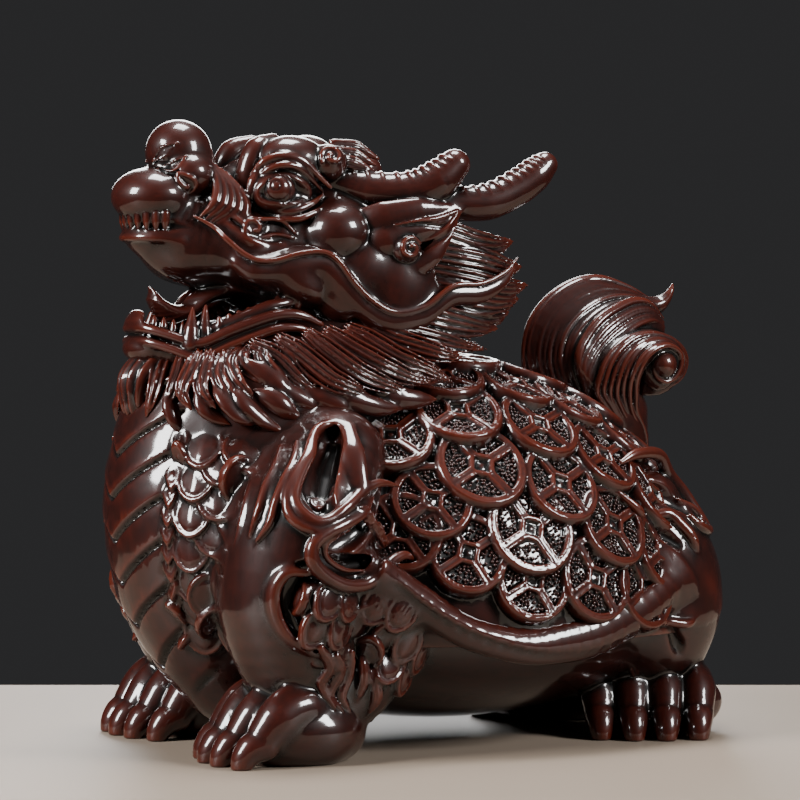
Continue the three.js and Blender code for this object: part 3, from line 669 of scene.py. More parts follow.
def curl(clay, centre, size, thick, turns, flip, start, outward=(1, 0, 0)):
    # A flat spiral laid on the surface, winding in from its rim
    out, a, b = upright(outward)
    path = []
    for i in range(int(turns * 8) + 1):
        t = i / (turns * 8)
        angle = start + flip * 2 * math.pi * turns * t
        r = size * (1 - 0.86 * t)
        path.append(np.array(centre) + a * r * math.cos(angle) + b * r * math.sin(angle) + out * thick * 0.4 * t)
    path = laid(clay, path, thick * 0.3)
    rod(clay, path, [thick * 0.7, thick, thick * 0.8], tuple(a), soft=0.6, parts=2 * len(path) - 2)


def ring(centre, radius, outward):
    a, b = upright(outward)[1:]
    angles = [k * math.pi / 6 for k in range(13)]
    return [np.array(centre) + radius * (a * math.cos(t) + b * math.sin(t)) for t in angles]


def face(clay):
    # Cheeks and the broad folds of the face
    ball(clay, (27, -49, 208), (12, 14, 12), soft=3)
    ball(clay, (31, -38, 193), (9, 13, 15), (-35, 0), 2)
    ball(clay, (27, -66, 185.5), (8.5, 11, 6), (-30, 0), 2)
    ball(clay, (28, -52, 178.5), (8, 11, 6), (-38, 0), 1.5)
    ball(clay, (31, -24, 186), (12, 17, 21), soft=3)
    # Fur that sweeps down behind the nose
    for i in range(5):
        path = [(11 + i, -101 + i * 2.0, 238 - i * 1.6), (16 + i * 1.1, -98 + i * 2.4, 229 - i * 1.6),
                (19.5 + i * 0.8, -100 + i * 2.8, 220 - i * 1.2), (18.5 + i * 0.6, -107 + i * 2.6, 213 - i * 0.6)]
        rod(clay, path, [0.7, 2.0, 2.2, 0.4], (0, 1, 0.3), 0.9, soft=0.6, grooves=2, deep=0.35)
    # Eye in its lids
    x, y, z = headShape["eye"]
    ball(clay, (x, y + 2, z - 1), (9, 13, 9.5), soft=1.5)
    rod(clay, [(x + 6, y - 8, z - 2), (x + 9, y, z), (x + 7, y + 13, z - 3)], [3, 6, 2], (0, 0, 1), soft=1.5,
        cut=True)
    size = headShape["eyeSize"]
    ball(clay, (x + 1.4, y - 0.6, z), (size, size, size), soft=0.2)
    for radius, thick, look in [(headShape["iris"], 0.4, np.array([0.93, -0.36, 0.05])),
                                (headShape["pupil"], 0.45, np.array([0.86, -0.48, 0.2]))]:
        at = np.array([x + 1.4, y - 0.6, z]) + look * math.sqrt(size ** 2 - radius ** 2)
        rod(clay, ring(at, radius, look), [thick] * 2, soft=0.2, cut=True, parts=36)
    rod(clay, [(x - 3, y - 9, z + 3), (x + 2.5, y - 5.5, z + 7.6), (x + 5, y + 0.5, z + 9.6),
               (x + 5.2, y + 8, z + 8), (x + 3, y + 19, z - 0.5)],
        [0.8, 1.4, 1.6, 1.5, 0.7], (0, 0, 1), soft=1.0)
    rod(clay, [(x - 3, y - 10, z + 5.5), (x + 1.5, y - 6.5, z + 11), (x + 3.5, y + 0.5, z + 13.2),
               (x + 5, y + 9, z + 11), (x + 6, y + 21, z + 1)],
        [0.8, 1.6, 1.8, 1.6, 0.8], (0, 0, 1), soft=1.4)
    low = [(20, -79, 218.5), (25.5, -75, 216.5), (28, -69, 216.5), (27.5, -61, 219.5), (25, -55, 223)]
    rod(clay, low, [0.8, 1.6, 1.8, 1.4, 0.6], soft=0.6)
    rod(clay, [(p[0] + 1.2, p[1] + 1.5, p[2] - 3.2) for p in low], [0.6, 1.2, 1.5, 1.2, 0.5], soft=0.8)
    # Brow: a smooth dome with a curl behind it, and a roll down its front
    ball(clay, (17, -64, 236), (11, 15.5, 10.8), (-8, 0), 1.5)
    rod(clay, [(11, -82, 222), (12, -82, 232), (12, -78, 241), (10, -70, 245)], [3.5, 5.0, 5.0, 3.0], soft=1.0)
    rod(clay, [(20, -86, 219), (21, -84, 228), (20, -78, 236)], [1.2, 2.4, 1.2], soft=0.8)
    ball(clay, (23, -52, 236), (7.5, 8, 7.5), soft=0.8)
    curl(clay, (29, -53, 238), 4.6, 1.0, 1.3, flip=-1, start=0.5, outward=(0.85, -0.2, 0.5))
    for i in range(3):
        path = [(24 - i * 3, -48 + i, 237 + i * 3), (25 - i * 3, -41 + i * 2, 236 + i * 3.2),
                (26 - i * 3, -33 + i * 3, 233 + i * 2.5)]
        rod(clay, path, [3.4, 3.4, 0.8], (0, 0.6, 1), 0.6, soft=0.4, grooves=3, deep=0.5)
    # A cloud that rolls above the lip
    ball(clay, (22, -86, 209), (5, 7, 6), soft=2)
    curl(clay, (26.5, -86, 209.5), 4.8, 1.0, 1.1, flip=-1, start=1.4, outward=(0.95, -0.3, 0))
    for path in [
        [(22, -91, 214.5), (26, -84, 213), (28, -76, 212), (30, -69, 208)],
        [(27, -84, 205.5), (29, -77, 207), (30.5, -70, 206)],
        [(20, -99, 214), (24, -94, 209), (27, -88, 204), (31, -82, 202.5), (33, -75, 203)],
        [(20, -96, 216.5), (24, -91, 212), (26, -88, 208)],
    ]:
        rod(clay, laid(clay, path, 0.2), [0.5, 1.1, 1.0, 0.5], soft=0.5)
        rod(clay, laid(clay, [(p[0], p[1], p[2] - 1.9) for p in path], 0.0), [0.3, 0.7, 0.7, 0.3], soft=0.4, cut=True)
    # Upper lip: a broad band with a thin edge along its top, which trails off below the ear
    lip = [(19, -109, 214), (23, -102, 209.5), (27.5, -99, 205), (30, -93, 199.5), (32, -87, 196.5),
           (33, -79, 196.8), (35, -70, 199.3), (36.5, -61, 200), (38, -55, 197), (39, -48, 188), (40, -40, 180.5),
           (41, -30, 175.8), (42, -17, 178.5), (43, -5, 186.5), (43, 8, 187.5), (42.5, 19, 192), (41, 26, 198)]
    band = [(p[0] - 3.6, p[1], p[2] - 4.2) for p in lip[3:]]
    rod(clay, band, [1.2] + [4.6] * 10 + [3.2, 1.0], (0, 0, 1), 0.8, soft=4.5)
    rod(clay, [(7, -106, 201), (14, -93, 200), (20, -79, 194), (25, -66, 191), (28, -54, 188)], [11, 10, 9, 8, 6],
        soft=7)
    rod(clay, lip, [0.6, 1.0] + [1.15] * 11 + [1.0, 0.8, 0.5], soft=0.8)


def ear(clay):
    # A smooth leaf that flows back to a point from a rolled boss
    for path, radii in [
        ([(30, -42, 211), (36, -33, 213), (40, -20, 216), (41, -9, 217), (41.5, 0, 218)], [6, 7.5, 6, 3.4, 0.8]),
        ([(31, -40, 203), (37, -34, 204), (40, -24, 208), (42, -12, 211), (42, -1, 217)], [6, 6.5, 5, 3.4, 0.8]),
        ([(36, -32, 194), (40, -22, 194), (42, -14, 199), (42.5, -8, 207), (42.5, -2, 216)],
         [2.0, 4.4, 4.2, 2.8, 0.8]),
    ]:
        rod(clay, path, radii, (0, -0.3, 1), 0.55, soft=0.8)
    for path in [
        [(39, -30, 211), (41.5, -20, 213), (42.5, -11, 213.5), (43, -3, 217)],
        [(42, -19, 203), (43, -14, 206), (43, -8, 210), (43, -3, 216)],
    ]:
        rod(clay, laid(clay, path, 0.2), [0.8, 1.1, 0.9, 0.4], soft=0.5)
        rod(clay, laid(clay, [(p[0], p[1] + 0.5, p[2] - 2.4) for p in path], 0.1), [0.3, 0.9, 0.8, 0.3], soft=0.5,
            cut=True)
    ball(clay, (40, -25, 201.5), (4.6, 6.4, 6.4), soft=0.5)
    curl(clay, (44.5, -25, 201.5), 5.4, 1.15, 1.3, flip=1, start=3.6)


def antlers(clay):
    for path, radii, rings in [
        ([(19, -50, 230), (25, -35, 225.5), (32, -19, 224.5), (36.5, -9, 229), (38.5, -2, 235.5)],
         [5, 7.3, 8.2, 8.2, 6.4], 11),
        ([(31, -18, 221), (35, -2, 220), (38, 13, 220.5), (39, 26, 226), (40, 34, 231.5), (40.5, 39, 236)],
         [6, 6.8, 7.4, 7.4, 7.0, 5.4], 14),
    ]:
        rod(clay, path, radii, soft=1.2)
        # Thin ridges across the upper side of the beam
        line = smoothPath(path, rings * 2)
        size = np.interp(np.linspace(0, len(radii) - 1, rings * 2 + 1), np.arange(len(radii)), radii)
        for i in range(3, rings * 2, 2):
            along = line[i + 1] - line[i - 1]
            up = unit(np.array([0, 0, 1]) - along * along[2] / np.dot(along, along))
            across = unit(np.cross(along, up))
            arc = [line[i] + (up * math.cos(t) + across * math.sin(t)) * (size[i] - 0.15)
                   + unit(along) * (1 - math.cos(t)) * 2.6 for t in (-1.1, -0.7, -0.35, 0, 0.35, 0.7, 1.1)]
            rod(clay, arc, [0.3, 0.75, 0.85, 0.9, 0.85, 0.75, 0.3], soft=0.5)


def mouth(clay):
    rod(clay, [(0, -36, 171), (0, -70, 165), (0, -100, 159), (0, -121, 161)], [32, 27, 21, 12.5], flat=0.5, soft=3,
        cap=0.75)
    # Lower lip: rises at the front in a thin curled flap
    lip = [(0, -126.5, 170), (9, -125.5, 169.5), (17, -118, 166.5), (23, -109, 163.5), (27, -98, 168),
           (30, -88, 172), (32, -78, 174.8), (33, -69, 174.5), (33.5, -60, 171)]
    rod(clay, lip, [2.0, 2.0, 2.1, 2.3, 2.4, 2.4, 2.4, 2.2, 1.2], soft=1.0)
    rod(clay, [(0, -125, 168), (0, -126.5, 172), (0, -125.5, 175)], [8, 8.4, 6.5], (1, 0, 0), 0.26, soft=1.0, cap=0.3)
    rod(clay, [(p[0] + 1.0, p[1], p[2] - 5.2) for p in lip], [1.4, 1.8, 2.0, 2.2, 2.2, 2.2, 2.0, 1.6, 0.8], soft=1.4)
    rod(clay, [(p[0] + 2.2, p[1], p[2] - 2.7) for p in lip[1:]], [0.5, 0.8, 0.9, 0.9, 0.9, 0.8, 0.6, 0.3], soft=0.5,
        cut=True)
    # Gum, with its row of cheek teeth
    rod(clay, [(20, -104, 168), (25, -92, 173), (28, -80, 178), (29, -70, 180)], [2.4, 2.8, 2.8, 1.5], soft=1.0)
    # Tongue: a leaf with a sunk middle and its tip turned up
    tongue = [(0, -60, 176), (0, -82, 184), (0, -95, 183), (0, -106, 176.5), (0, -114, 178), (0, -119.5, 185)]
    rod(clay, tongue, [12, 13, 12, 10, 7.5, 1.6], flat=0.3, soft=0.8)
    rod(clay, [(p[0], p[1] - 0.6, p[2] + 3.4) for p in tongue[:5]], [0.8, 2.0, 2.4, 2.0, 0.6], soft=1.5, cut=True)
    # Teeth
    for i in range(headShape["frontTeeth"]):
        a = math.radians(i * 15.5)
        top = (14.3 * math.sin(a), -116.5 - 13.2 * math.cos(a))
        rod(clay, [(*top, 215), (*top, 212), (*top, 215 - headShape["toothLong"])], [2.0, 1.8, 0.45], soft=0.2)
    for i in range(1, 5):
        a = math.radians(20 + i * 17)
        low = (15.5 * math.sin(a), -112 - 12.5 * math.cos(a))
        rod(clay, [(*low, 168 - i * 0.6), (*low, 172 - i * 0.8), (*low, 175.4 - i * 0.8)], [2.0, 1.6, 0.4], soft=0.2)
    for y, top in [(-111.5, 177.5), (-105.8, 178.5)]:
        rod(clay, [(20.5, y, 163), (20.3, y + 0.5, 169), (19, y + 1.8, top)], [3.8, 3.0, 0.6], soft=0.2)
    for i in range(9):
        y, z = -100 + i * 3.9, 168.6 + i * 1.25
        rod(clay, [(23.2 + i * 0.75, y, z), (23.2 + i * 0.75, y, z + 4.6)], [1.75, 1.1], soft=0.2)


def makeHead(material):
    clay = Clay((0, -138, 140), (52, 52, 256), headShape["fine"])
    snout(clay)
    mouth(clay)
    face(clay)
    ear(clay)
    antlers(clay)
    clay.both()
    skin(clay, "head", headShape["facets"], material, reach=2.2)


# Mane: locks with fine ridges, down the throat and back over the shoulders

maneShape = {
    "fine": 0.5, "facets": 150000,
    # Behind the cheek, below the jaw, and down the throat, each group in the order its locks are laid
    "cheek": [
        [(34, -24, 176), (38, -13, 174), (38, -3, 172), (37, 9, 170), (35, 20, 169)],
        [(26, -24, 180), (34, -8, 178.5), (36, 6, 175.5), (34, 18, 174), (32, 27, 176)],
        [(26, -24, 188), (35, -6, 185), (37, 9, 181), (35, 22, 180), (32, 31.5, 181.5)],
        [(27, -25, 196), (34, -7, 192), (36, 11, 188.5), (34, 25, 186), (31, 36.5, 187)],
        [(27, -26, 204), (34, -8, 200), (36, 10, 197), (34, 24, 194), (32, 33, 194.5)],
        [(28, -27, 213), (34, -9, 209), (35, 8, 204), (33, 20, 203), (31, 29.5, 205)],
    ],
    "jaw": [
        [(34, -35, 177), (38, -28, 170), (39, -12, 166), (38, 1, 163), (35, 15, 160.5)],
        [(33, -41, 173), (38, -33, 166), (43, -22, 162), (47, -12, 159), (46, -1, 157)],
        [(35, -48, 169), (40, -41, 164), (46, -33, 158), (50, -21, 153), (50.5, -9, 147.5)],
        [(38, -59, 168), (43, -52, 162), (49, -41, 155), (50, -29, 150), (50.5, -18, 147.5)],
        [(40, -69, 167), (45, -62, 160), (50, -52, 152), (51, -40, 147), (50, -27, 143.5)],
        [(37, -80, 165), (42, -73, 159), (49, -64, 150), (52, -56, 146), (51.5, -48, 142.5)],
        [(34, -90, 163), (39, -82, 157), (44, -75, 149), (48, -66, 142)],
    ],
    "under": [
        [(39, -93, 155), (42, -87, 150), (44, -84, 147), (45, -80, 144)],
        [(42, -92, 144), (45, -88, 142), (47, -84, 139), (47.5, -80, 136), (47, -74, 133.5)],
        [(43, -84, 148), (45, -79, 143), (47, -71, 139), (48, -63, 135)],
        [(46, -72, 144), (49, -64, 141), (50.5, -60, 139), (51, -54, 135)],
        [(49, -62, 144), (51, -54, 141), (51.5, -42, 138), (50, -30, 138)],
        [(49, -42, 143), (50, -28, 141), (49, -16, 141)],
    ],
    "throat": [
        [(33, -86, 163), (38, -88, 157), (42, -84, 151), (45, -79, 147)],
        [(31, -92, 162), (35, -96, 157), (39, -93, 152), (43, -89, 148)],
        [(30, -96, 161), (35, -101, 155), (41, -100, 148), (44.5, -95, 143)],
        [(29, -101, 160), (35, -106, 151.5), (40, -105, 145), (43.5, -102, 141)],
        [(27, -106, 160), (31, -111, 152), (34.5, -113, 145), (40, -109, 138)],
        [(24, -110, 160), (28, -115, 153), (29.5, -119, 145), (33, -116.5, 137)],
        [(19, -114, 160), (22.5, -117, 152), (24, -120.5, 146), (22, -124.5, 136)],
        [(8, -116, 160), (12, -121, 153), (15, -125, 144), (14, -128, 134)],
    ],
    "low": [
        [(20, -119, 145), (23, -121, 139), (25, -120, 133), (26, -116, 127)],
        [(31, -112, 145), (34.5, -112, 139), (37, -108.5, 135), (41, -104, 132)],
        [(37, -107, 146), (41, -105.5, 141), (44.5, -101, 135), (46, -95, 132)],
        [(41, -100, 145), (44, -98.5, 140), (46.5, -91, 133), (47.5, -83, 129)],
    ],
}


def makeMane(material):
    clay = Clay((0, -136, 118), (58, 44, 222), maneShape["fine"])
    # Each group's width, broad direction, grooves, their depth, and flatness
    for group, *form in [
        ("under", 5.4, (0, 0.4, 1), 1, 0.5, 0.5), ("low", 5.6, (-0.5, 0.8, 0.4), 1, 0.6, 0.5),
        ("throat", 4.3, (0.6, 0.7, 0), 3, 1.0, 0.55), ("cheek", 7.0, (0, 0, 1), 5, 1.0, 0.5),
        ("jaw", 5.8, (0, 0.6, 1), 5, 1.25, 0.5),
    ]:
        for path in maneShape[group]:
            lockRod(clay, path, *form)
    # The beard's middle lock
    rod(clay, [(0, -110, 162), (0, -123, 154), (0, -127, 144), (0, -126, 131)], [9, 12, 10, 1.0], flat=0.45,
        soft=0.5, grooves=5, deep=1.1)
    # Crest down the back of the neck
    for i in range(3):
        path = [(5 + i * 8, -20, 226 - i * 5), (7 + i * 9, -2, 216 - i * 5), (8 + i * 9, 14, 202 - i * 5),
                (8 + i * 7, 34, 184 - i * 3)]
        lockRod(clay, path, 8, (1, 0, 0), 5, 1.0)
    clay.both()
    skin(clay, "mane", maneShape["facets"], material, reach=2.2)


# Tail: strands that rise from the rump, fan forward and roll back over into a scroll

tailShape = {
    "fine": 0.47, "facets": 110000,
    # Each group of strands lies between an outer and an inner line, so many strands wide
    "groups": [
        ([(5, 90, 104), (5, 76, 122), (3, 60, 138), (0, 52.8, 154), (0, 55, 170), (0, 64, 181.5), (0, 77, 188.8),
          (0, 90, 190.3), (0, 103, 186.5), (0, 112, 182), (1, 117, 180)],
         [(10, 93, 106), (12, 86, 122), (13.5, 77, 136), (14, 70.5, 152), (13.5, 71, 160), (12.5, 75, 166.5),
          (11.5, 82, 172.5), (9.5, 91, 177), (8, 101, 179.3), (7, 109, 178), (6, 115, 176)], 10),
        ([(10, 93, 106), (12, 86, 122), (14.5, 76, 138), (16, 69.6, 153), (16, 70, 160), (15, 74, 166),
          (14, 81, 173.3), (12, 91, 178.3), (10, 100.7, 181), (9, 109.3, 179.6), (8, 116.4, 173.2)],
         [(11, 98, 107), (14, 92, 124), (17, 82, 138), (17.5, 76, 146), (17.5, 77.5, 152), (17, 81, 157),
          (16.5, 87, 162), (15.5, 93.5, 166.5), (13.5, 102, 170.3), (11, 110, 171.5), (8, 117, 168.5)], 7),
        ([(11, 98, 107), (14, 92, 124), (17.5, 82, 136), (19.5, 76.6, 142), (20.5, 78, 150), (20.5, 81, 156),
          (20, 86, 161), (19, 93, 165), (18, 102, 166.7), (17, 110.4, 165.8), (16, 117.5, 163), (14, 123, 158.7),
          (13, 124.7, 153.5), (13, 122, 147.6), (13, 115.7, 143.8), (12, 108.8, 143.5)],
         [(9, 108, 110), (12, 105, 124), (16, 98, 134), (19, 95.8, 140), (21, 95, 146.5), (22.5, 96.6, 153),
          (23, 99.7, 157.4), (23, 104.2, 160.4), (22.5, 110.2, 161.5), (21.5, 116, 158.8), (21, 117.2, 153.7),
          (21, 114.6, 148.6), (21, 110, 146.2), (21, 105.6, 148), (21, 103.6, 151.7), (21, 105.5, 155)], 6),
    ],
    "boss": (19, 109, 153.5), "bossSize": (6.5, 6.4, 6.4), "strand": 1.3,
    "flick": [(4, 108, 178), (4, 115.5, 178.5), (5, 119.2, 181), (6, 121.4, 184.5), (6, 122.6, 187.7)],
}


def makeTail(material):
    t = tailShape
    clay = Clay((0, 46, 86), (30, 132, 196), t["fine"])
    ball(clay, (0, 84, 160), (13, 27, 25), soft=3)
    ball(clay, (0, 106, 157), (14, 16.5, 13), soft=3)
    rod(clay, [(0, 97, 90), (0, 97, 108), (0, 95, 124), (0, 90, 140)], [12, 10, 11, 13], soft=3)
    for outer, inner, strands in t["groups"]:
        outer, inner = np.array(outer, float), np.array(inner, float)
        for k in range(strands + 1):
            line = outer + (inner - outer) * (k / strands)
            # A fat core keeps the strands' ground closed
            heart = np.stack([0 * line[:, 0], np.clip(line[:, 1], 90, 104), np.clip(line[:, 2], 100, 157)], axis=1)
            inward = heart - line
            inward /= np.maximum(np.linalg.norm(inward, axis=1), 1)[:, None]
            rod(clay, line + inward * 4.2, [4.0] * 3 + [3.4], (1, 0, 0), parts=2 * len(line), soft=0.6)
            wave = 0.4 * math.sin(k * 2.1)
            rod(clay, line - inward * (0.1 + 0.3 * (k % 2)) + [0, 0, wave], [0.8] + [t["strand"]] * 5 + [1.1, 0.35],
                (1, 0, 0), parts=4 * len(line), soft=0.15)
    ball(clay, t["boss"], t["bossSize"], soft=0.2)
    clay.both()
    rod(clay, t["flick"], [4.5, 4.0, 2.8, 1.6, 0.5], soft=1, grooves=2, deep=0.4)
    skin(clay, "tail", t["facets"], material, reach=2.2)


# Grains: the pebbled ground of each petal, scattered by Geometry Nodes

grainShape = {
    "spacing": 1.2, "size": 0.76, "least": 0.8, "most": 1.15, "seed": 7, "density": 900000.0, "proud": 0.56,
    # The petals' floors: depth below the coin, cell size, cells each way, how far in from the edge they end,
    # and how deep or high another coin's wood may be there
    "floor": -1.45, "cell": 1.2, "cells": 13, "inset": 0.7, "deepest": -0.3, "highest": 1.1,
}


def petalFloors(clay):
    # The petals' floors that no other coin covers, as one open mesh
    g = grainShape
    corners, faces = [], []
    steps = np.arange(-g["cells"], g["cells"] + 1) * g["cell"]
    for centre, side, facing, downhill, radius in coinFrames():
        full = shellShape["drawn"] / radius
        for flip in (1, -1):
            mirror = np.array([flip, 1, 1])
            c, s, f, d = (np.array(v) * mirror for v in (centre, side, facing, downhill))
            if flip < 0 and abs(centre[0]) < 0.5:
                continue
            for u in steps:
                for v in steps:
                    if petalEdge(math.hypot(u, v) * full, u * full, v * full) > -g["inset"]:
                        continue
                    at = c + s * u + d * v + f * g["floor"]
                    if not g["deepest"] <= clay.at(np.array([at]))[0] <= g["highest"]:
                        continue
                    h = g["cell"] / 2
                    for du, dv in [(-h, -h), (h, -h), (h, h), (-h, h)]:
                        corners.append((at + s * du + d * dv + [0, middleY, 0]) / 1000)
                    n = len(corners)
                    order = [n - 4, n - 3, n - 2, n - 1]
                    faces.append(order if np.dot(np.cross(s, d), f) > 0 else order[::-1])
    mesh = bpy.data.meshes.new("petal_floors")
    mesh.from_pydata([tuple(p) for p in corners], [], faces)
    return mesh


def addNode(tree, kind, settings=(), inputs=(), links=()):
    node = tree.nodes.new(kind)
    for name, value in settings:
        setattr(node, name, value)
    for name, value in inputs:
        node.inputs[name].default_value = value
    for name, socket in links:
        tree.links.new(socket, node.inputs[name])
    return node


def makeGrains(clay, material):
    g = grainShape
    tree = bpy.data.node_groups.new("scatter_grains", "GeometryNodeTree")
    face = tree.interface
    face.new_socket("Floors", in_out="INPUT", socket_type="NodeSocketGeometry")
    sockets = {name: face.new_socket(name, in_out="INPUT", socket_type=kind).identifier for name, kind in [
        ("Spacing", "NodeSocketFloat"), ("Size", "NodeSocketFloat"), ("Least", "NodeSocketFloat"),
        ("Most", "NodeSocketFloat"), ("Seed", "NodeSocketInt"), ("Material", "NodeSocketMaterial")]}
    face.new_socket("Grains", in_out="OUTPUT", socket_type="NodeSocketGeometry")
    given = addNode(tree, "NodeGroupInput").outputs
    dots = addNode(tree, "GeometryNodeDistributePointsOnFaces", [("distribute_method", "POISSON")],
                   [("Density Max", g["density"])],
                   [("Mesh", given["Floors"]), ("Distance Min", given["Spacing"]), ("Seed", given["Seed"])])
    grain = addNode(tree, "GeometryNodeMeshIcoSphere", [], [("Subdivisions", 1)], [("Radius", given["Size"])])
    vary = addNode(tree, "FunctionNodeRandomValue", [("data_type", "FLOAT")])
    tree.links.new(given["Least"], vary.inputs[2])
    tree.links.new(given["Most"], vary.inputs[3])
    tree.links.new(given["Seed"], vary.inputs["Seed"])
    placed = addNode(tree, "GeometryNodeInstanceOnPoints", [], [],
                     [("Points", dots.outputs["Points"]), ("Instance", grain.outputs["Mesh"]),
                      ("Rotation", dots.outputs["Rotation"]), ("Scale", vary.outputs[1])])
    real = addNode(tree, "GeometryNodeRealizeInstances", [], [], [("Geometry", placed.outputs["Instances"])])
    smooth = addNode(tree, "GeometryNodeSetShadeSmooth", [], [], [("Geometry", real.outputs["Geometry"])])
    # The grains get a fixed proud value just above the flat wood on the colour ramp, so no painted shade darkens them
    proud = addNode(tree, "GeometryNodeStoreNamedAttribute", [("data_type", "FLOAT"), ("domain", "POINT")],
                    [("Name", "proud"), ("Value", g["proud"])], [("Geometry", smooth.outputs["Geometry"])])
    coated = addNode(tree, "GeometryNodeSetMaterial", [], [],
                     [("Geometry", proud.outputs["Geometry"]), ("Material", given["Material"])])
    addNode(tree, "NodeGroupOutput", [], [], [("Grains", coated.outputs["Geometry"])])

    floors = bpy.data.objects.new("coin_grains", petalFloors(clay))
    bpy.context.collection.objects.link(floors)
    scatter = floors.modifiers.new("Scatter", "NODES")
    scatter.node_group = tree
    for name, value in [("Spacing", g["spacing"] / 1000), ("Size", g["size"] / 1000), ("Least", g["least"]),
                        ("Most", g["most"]), ("Seed", g["seed"]), ("Material", material)]:
        scatter[sockets[name]] = value
    mesh = bpy.data.meshes.new_from_object(floors.evaluated_get(bpy.context.evaluated_depsgraph_get()))
    floors.modifiers.clear()
    floors.data = mesh
    mesh.name = "coin_grains"
    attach(floors, "root")
    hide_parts("dragon_turtle")
    report(f"coin_grains: {len(mesh.polygons)} facets")


# Wood and lacquer

lookShape = {
    # Ramp colours from the hollows to the ridges: the near-black one is painted shade in the hollows, and the reddest
    # one on the ridges is partly wear and partly a painted highlight
    "hollowShade": "#040100", "flat": "#1f0704", "raised": "#2e0c06", "wornAndHighlight": "#421509",
    "hollowShadeAt": 0.34, "flatAt": 0.49, "raisedAt": 0.62, "wornAndHighlightAt": 0.80,
    "roughness": 0.45, "specular": 0.12, "coat": 1.0, "coatRoughness": 0.1,
    "poreScale": 1400.0, "figureScale": 160.0, "poreBump": 0.12, "poreDepth": 0.0002,
}


def linear(colour):
    parts = [int(colour[i:i + 2], 16) / 255 for i in (1, 3, 5)]
    return (*(p / 12.92 if p <= 0.04045 else ((p + 0.055) / 1.055) ** 2.4 for p in parts), 1.0)


def lacqueredHardwood():
    # Dark red hardwood under clear lacquer: soft wide highlights from the lamps, painted shade that turns the hollows
    # near black, and redder wood on the ridges that is partly wear and partly a painted highlight
    look = lookShape
    material = bpy.data.materials.new("lacquered_hardwood")
    material.use_nodes = True
    tree = material.node_tree
    shader = tree.nodes["Principled BSDF"]
    where = addNode(tree, "ShaderNodeTexCoord").outputs["Object"]
    # Pores and figure run along the block, 0.5 mm wide and a few mm long
    grain = addNode(tree, "ShaderNodeMapping", [], [("Scale", (1.0, 0.07, 0.6))], [("Vector", where)])
    pores = addNode(tree, "ShaderNodeTexNoise", [], [("Scale", look["poreScale"]), ("Detail", 3.0)],
                    [("Vector", grain.outputs[0])])
    figure = addNode(tree, "ShaderNodeTexNoise", [], [("Scale", look["figureScale"]), ("Detail", 4.0)],
                     [("Vector", grain.outputs[0])])
    # How proud each place is picks its colour: painted shade in the hollows, and wear with a painted highlight on the
    # ridges
    proud = addNode(tree, "ShaderNodeAttribute", [("attribute_name", "proud")]).outputs["Fac"]
    shifted = addNode(tree, "ShaderNodeMath", [("operation", "MULTIPLY_ADD")], [(1, 0.10), (2, -0.05)],
                      [(0, figure.outputs["Fac"])])
    level = addNode(tree, "ShaderNodeMath", [("operation", "ADD")], [], [(0, proud), (1, shifted.outputs[0])])
    ramp = addNode(tree, "ShaderNodeValToRGB", [], [], [("Fac", level.outputs[0])])
    marks = [(look[name + "At"], look[name]) for name in ("hollowShade", "flat", "raised", "wornAndHighlight")]
    while len(ramp.color_ramp.elements) < len(marks):
        ramp.color_ramp.elements.new(0.5)
    for element, (at, colour) in zip(ramp.color_ramp.elements, marks):
        element.position = at
        element.color = linear(colour)
    tree.links.new(ramp.outputs["Color"], shader.inputs["Base Color"])
    bump = addNode(tree, "ShaderNodeBump", [], [("Strength", look["poreBump"]), ("Distance", look["poreDepth"])],
                   [("Height", pores.outputs["Fac"])])
    tree.links.new(bump.outputs["Normal"], shader.inputs["Normal"])
    shader.inputs["Roughness"].default_value = look["roughness"]
    shader.inputs["Specular IOR Level"].default_value = look["specular"]
    shader.inputs["Coat Weight"].default_value = look["coat"]
    shader.inputs["Coat Roughness"].default_value = look["coatRoughness"]
    return material


def plainPaint(name, colour, roughness):
    material = bpy.data.materials.new(name)
    material.use_nodes = True
    shader = material.node_tree.nodes["Principled BSDF"]
    shader.inputs["Base Color"].default_value = linear(colour)
    shader.inputs["Roughness"].default_value = roughness
    return material


# Studio

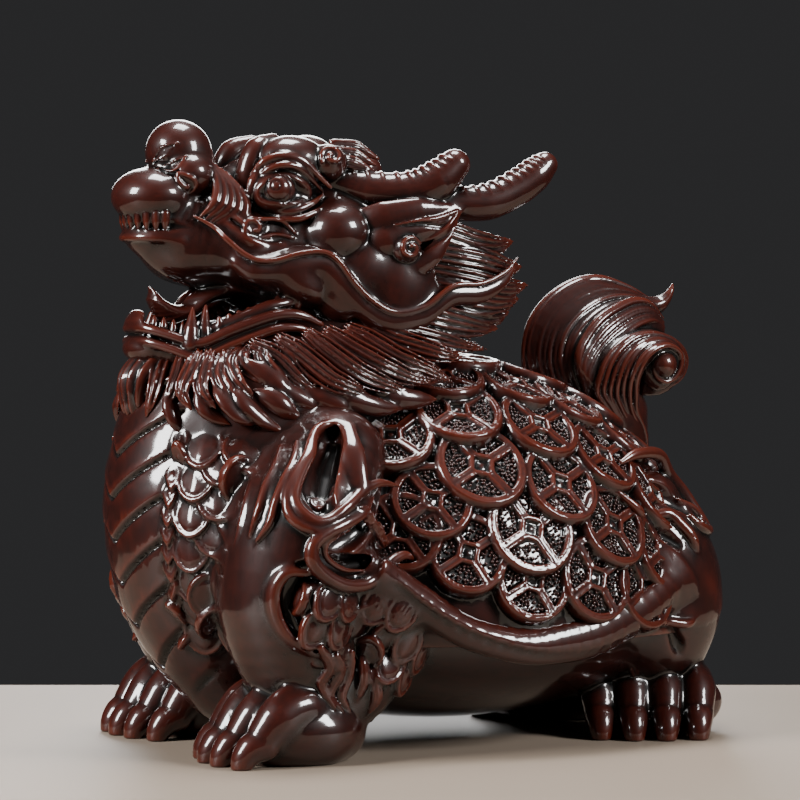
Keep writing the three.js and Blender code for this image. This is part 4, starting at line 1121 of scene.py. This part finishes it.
studioShape = {
    "floor": "#74675a", "floorCorners": [(-0.5, -0.5), (0.5, -0.5), (0.5, 0.205), (-0.5, 0.205)], "world": "#2d2d2e",
    "lights": [
        # name, place, size, watts
        ("left_softbox", (0.15, -1.25, 0.75), (0.42, 0.6), 50),
        ("right_softbox", (1.15, 0.75, 0.85), (0.42, 0.47), 38),
        ("top_softbox", (-0.1, 0.1, 1.25), (0.47, 0.47), 25),
        ("back_softbox", (-1.2, 0.5, 0.7), (0.6, 0.8), 14),
    ],
    "aim": (0, 0, 0.12), "camera": (1.3704, -0.7327, 0.180), "azimuth": 62, "pitch": 1.497, "lens": 168.75,
}


def makeStudio():
    s = studioShape
    mesh = bpy.data.meshes.new("floor")
    across, along = math.cos(math.radians(s["azimuth"])), math.sin(math.radians(s["azimuth"]))
    corners = [(x * across - y * along, x * along + y * across, 0) for x, y in s["floorCorners"]]
    mesh.from_pydata(corners, [], [[0, 1, 2, 3]])
    mesh.materials.append(plainPaint("pale_floor", s["floor"], 0.6))
    floor = bpy.data.objects.new("floor", mesh)
    bpy.context.collection.objects.link(floor)
    world = bpy.data.worlds.new("studio")
    world.use_nodes = True
    world.node_tree.nodes["Background"].inputs["Color"].default_value = linear(s["world"])
    bpy.context.scene.world = world
    for name, place, size, power in s["lights"]:
        light = bpy.data.lights.new(name, "AREA")
        light.shape = "RECTANGLE"
        light.size, light.size_y = size
        light.energy = power
        lamp = bpy.data.objects.new(name, light)
        lamp.location = place
        lamp.rotation_euler = (Vector(s["aim"]) - Vector(place)).to_track_quat("-Z", "Y").to_euler()
        bpy.context.collection.objects.link(lamp)
    camera = bpy.data.objects.new("camera", bpy.data.cameras.new("camera"))
    camera.data.lens = s["lens"]
    camera.data.sensor_width = 36
    camera.data.clip_start = 0.05
    camera.location = s["camera"]
    camera.rotation_euler = (math.radians(90 - s["pitch"]), 0, math.radians(s["azimuth"]))
    bpy.context.collection.objects.link(camera)
    bpy.context.scene.camera = camera


wood = lacqueredHardwood()
shellClay = makeShell(wood)
makeGrains(shellClay, wood)
makeBody(wood)
makeHead(wood)
makeMane(wood)
makeTail(wood)
makeStudio()
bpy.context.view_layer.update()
report("done")
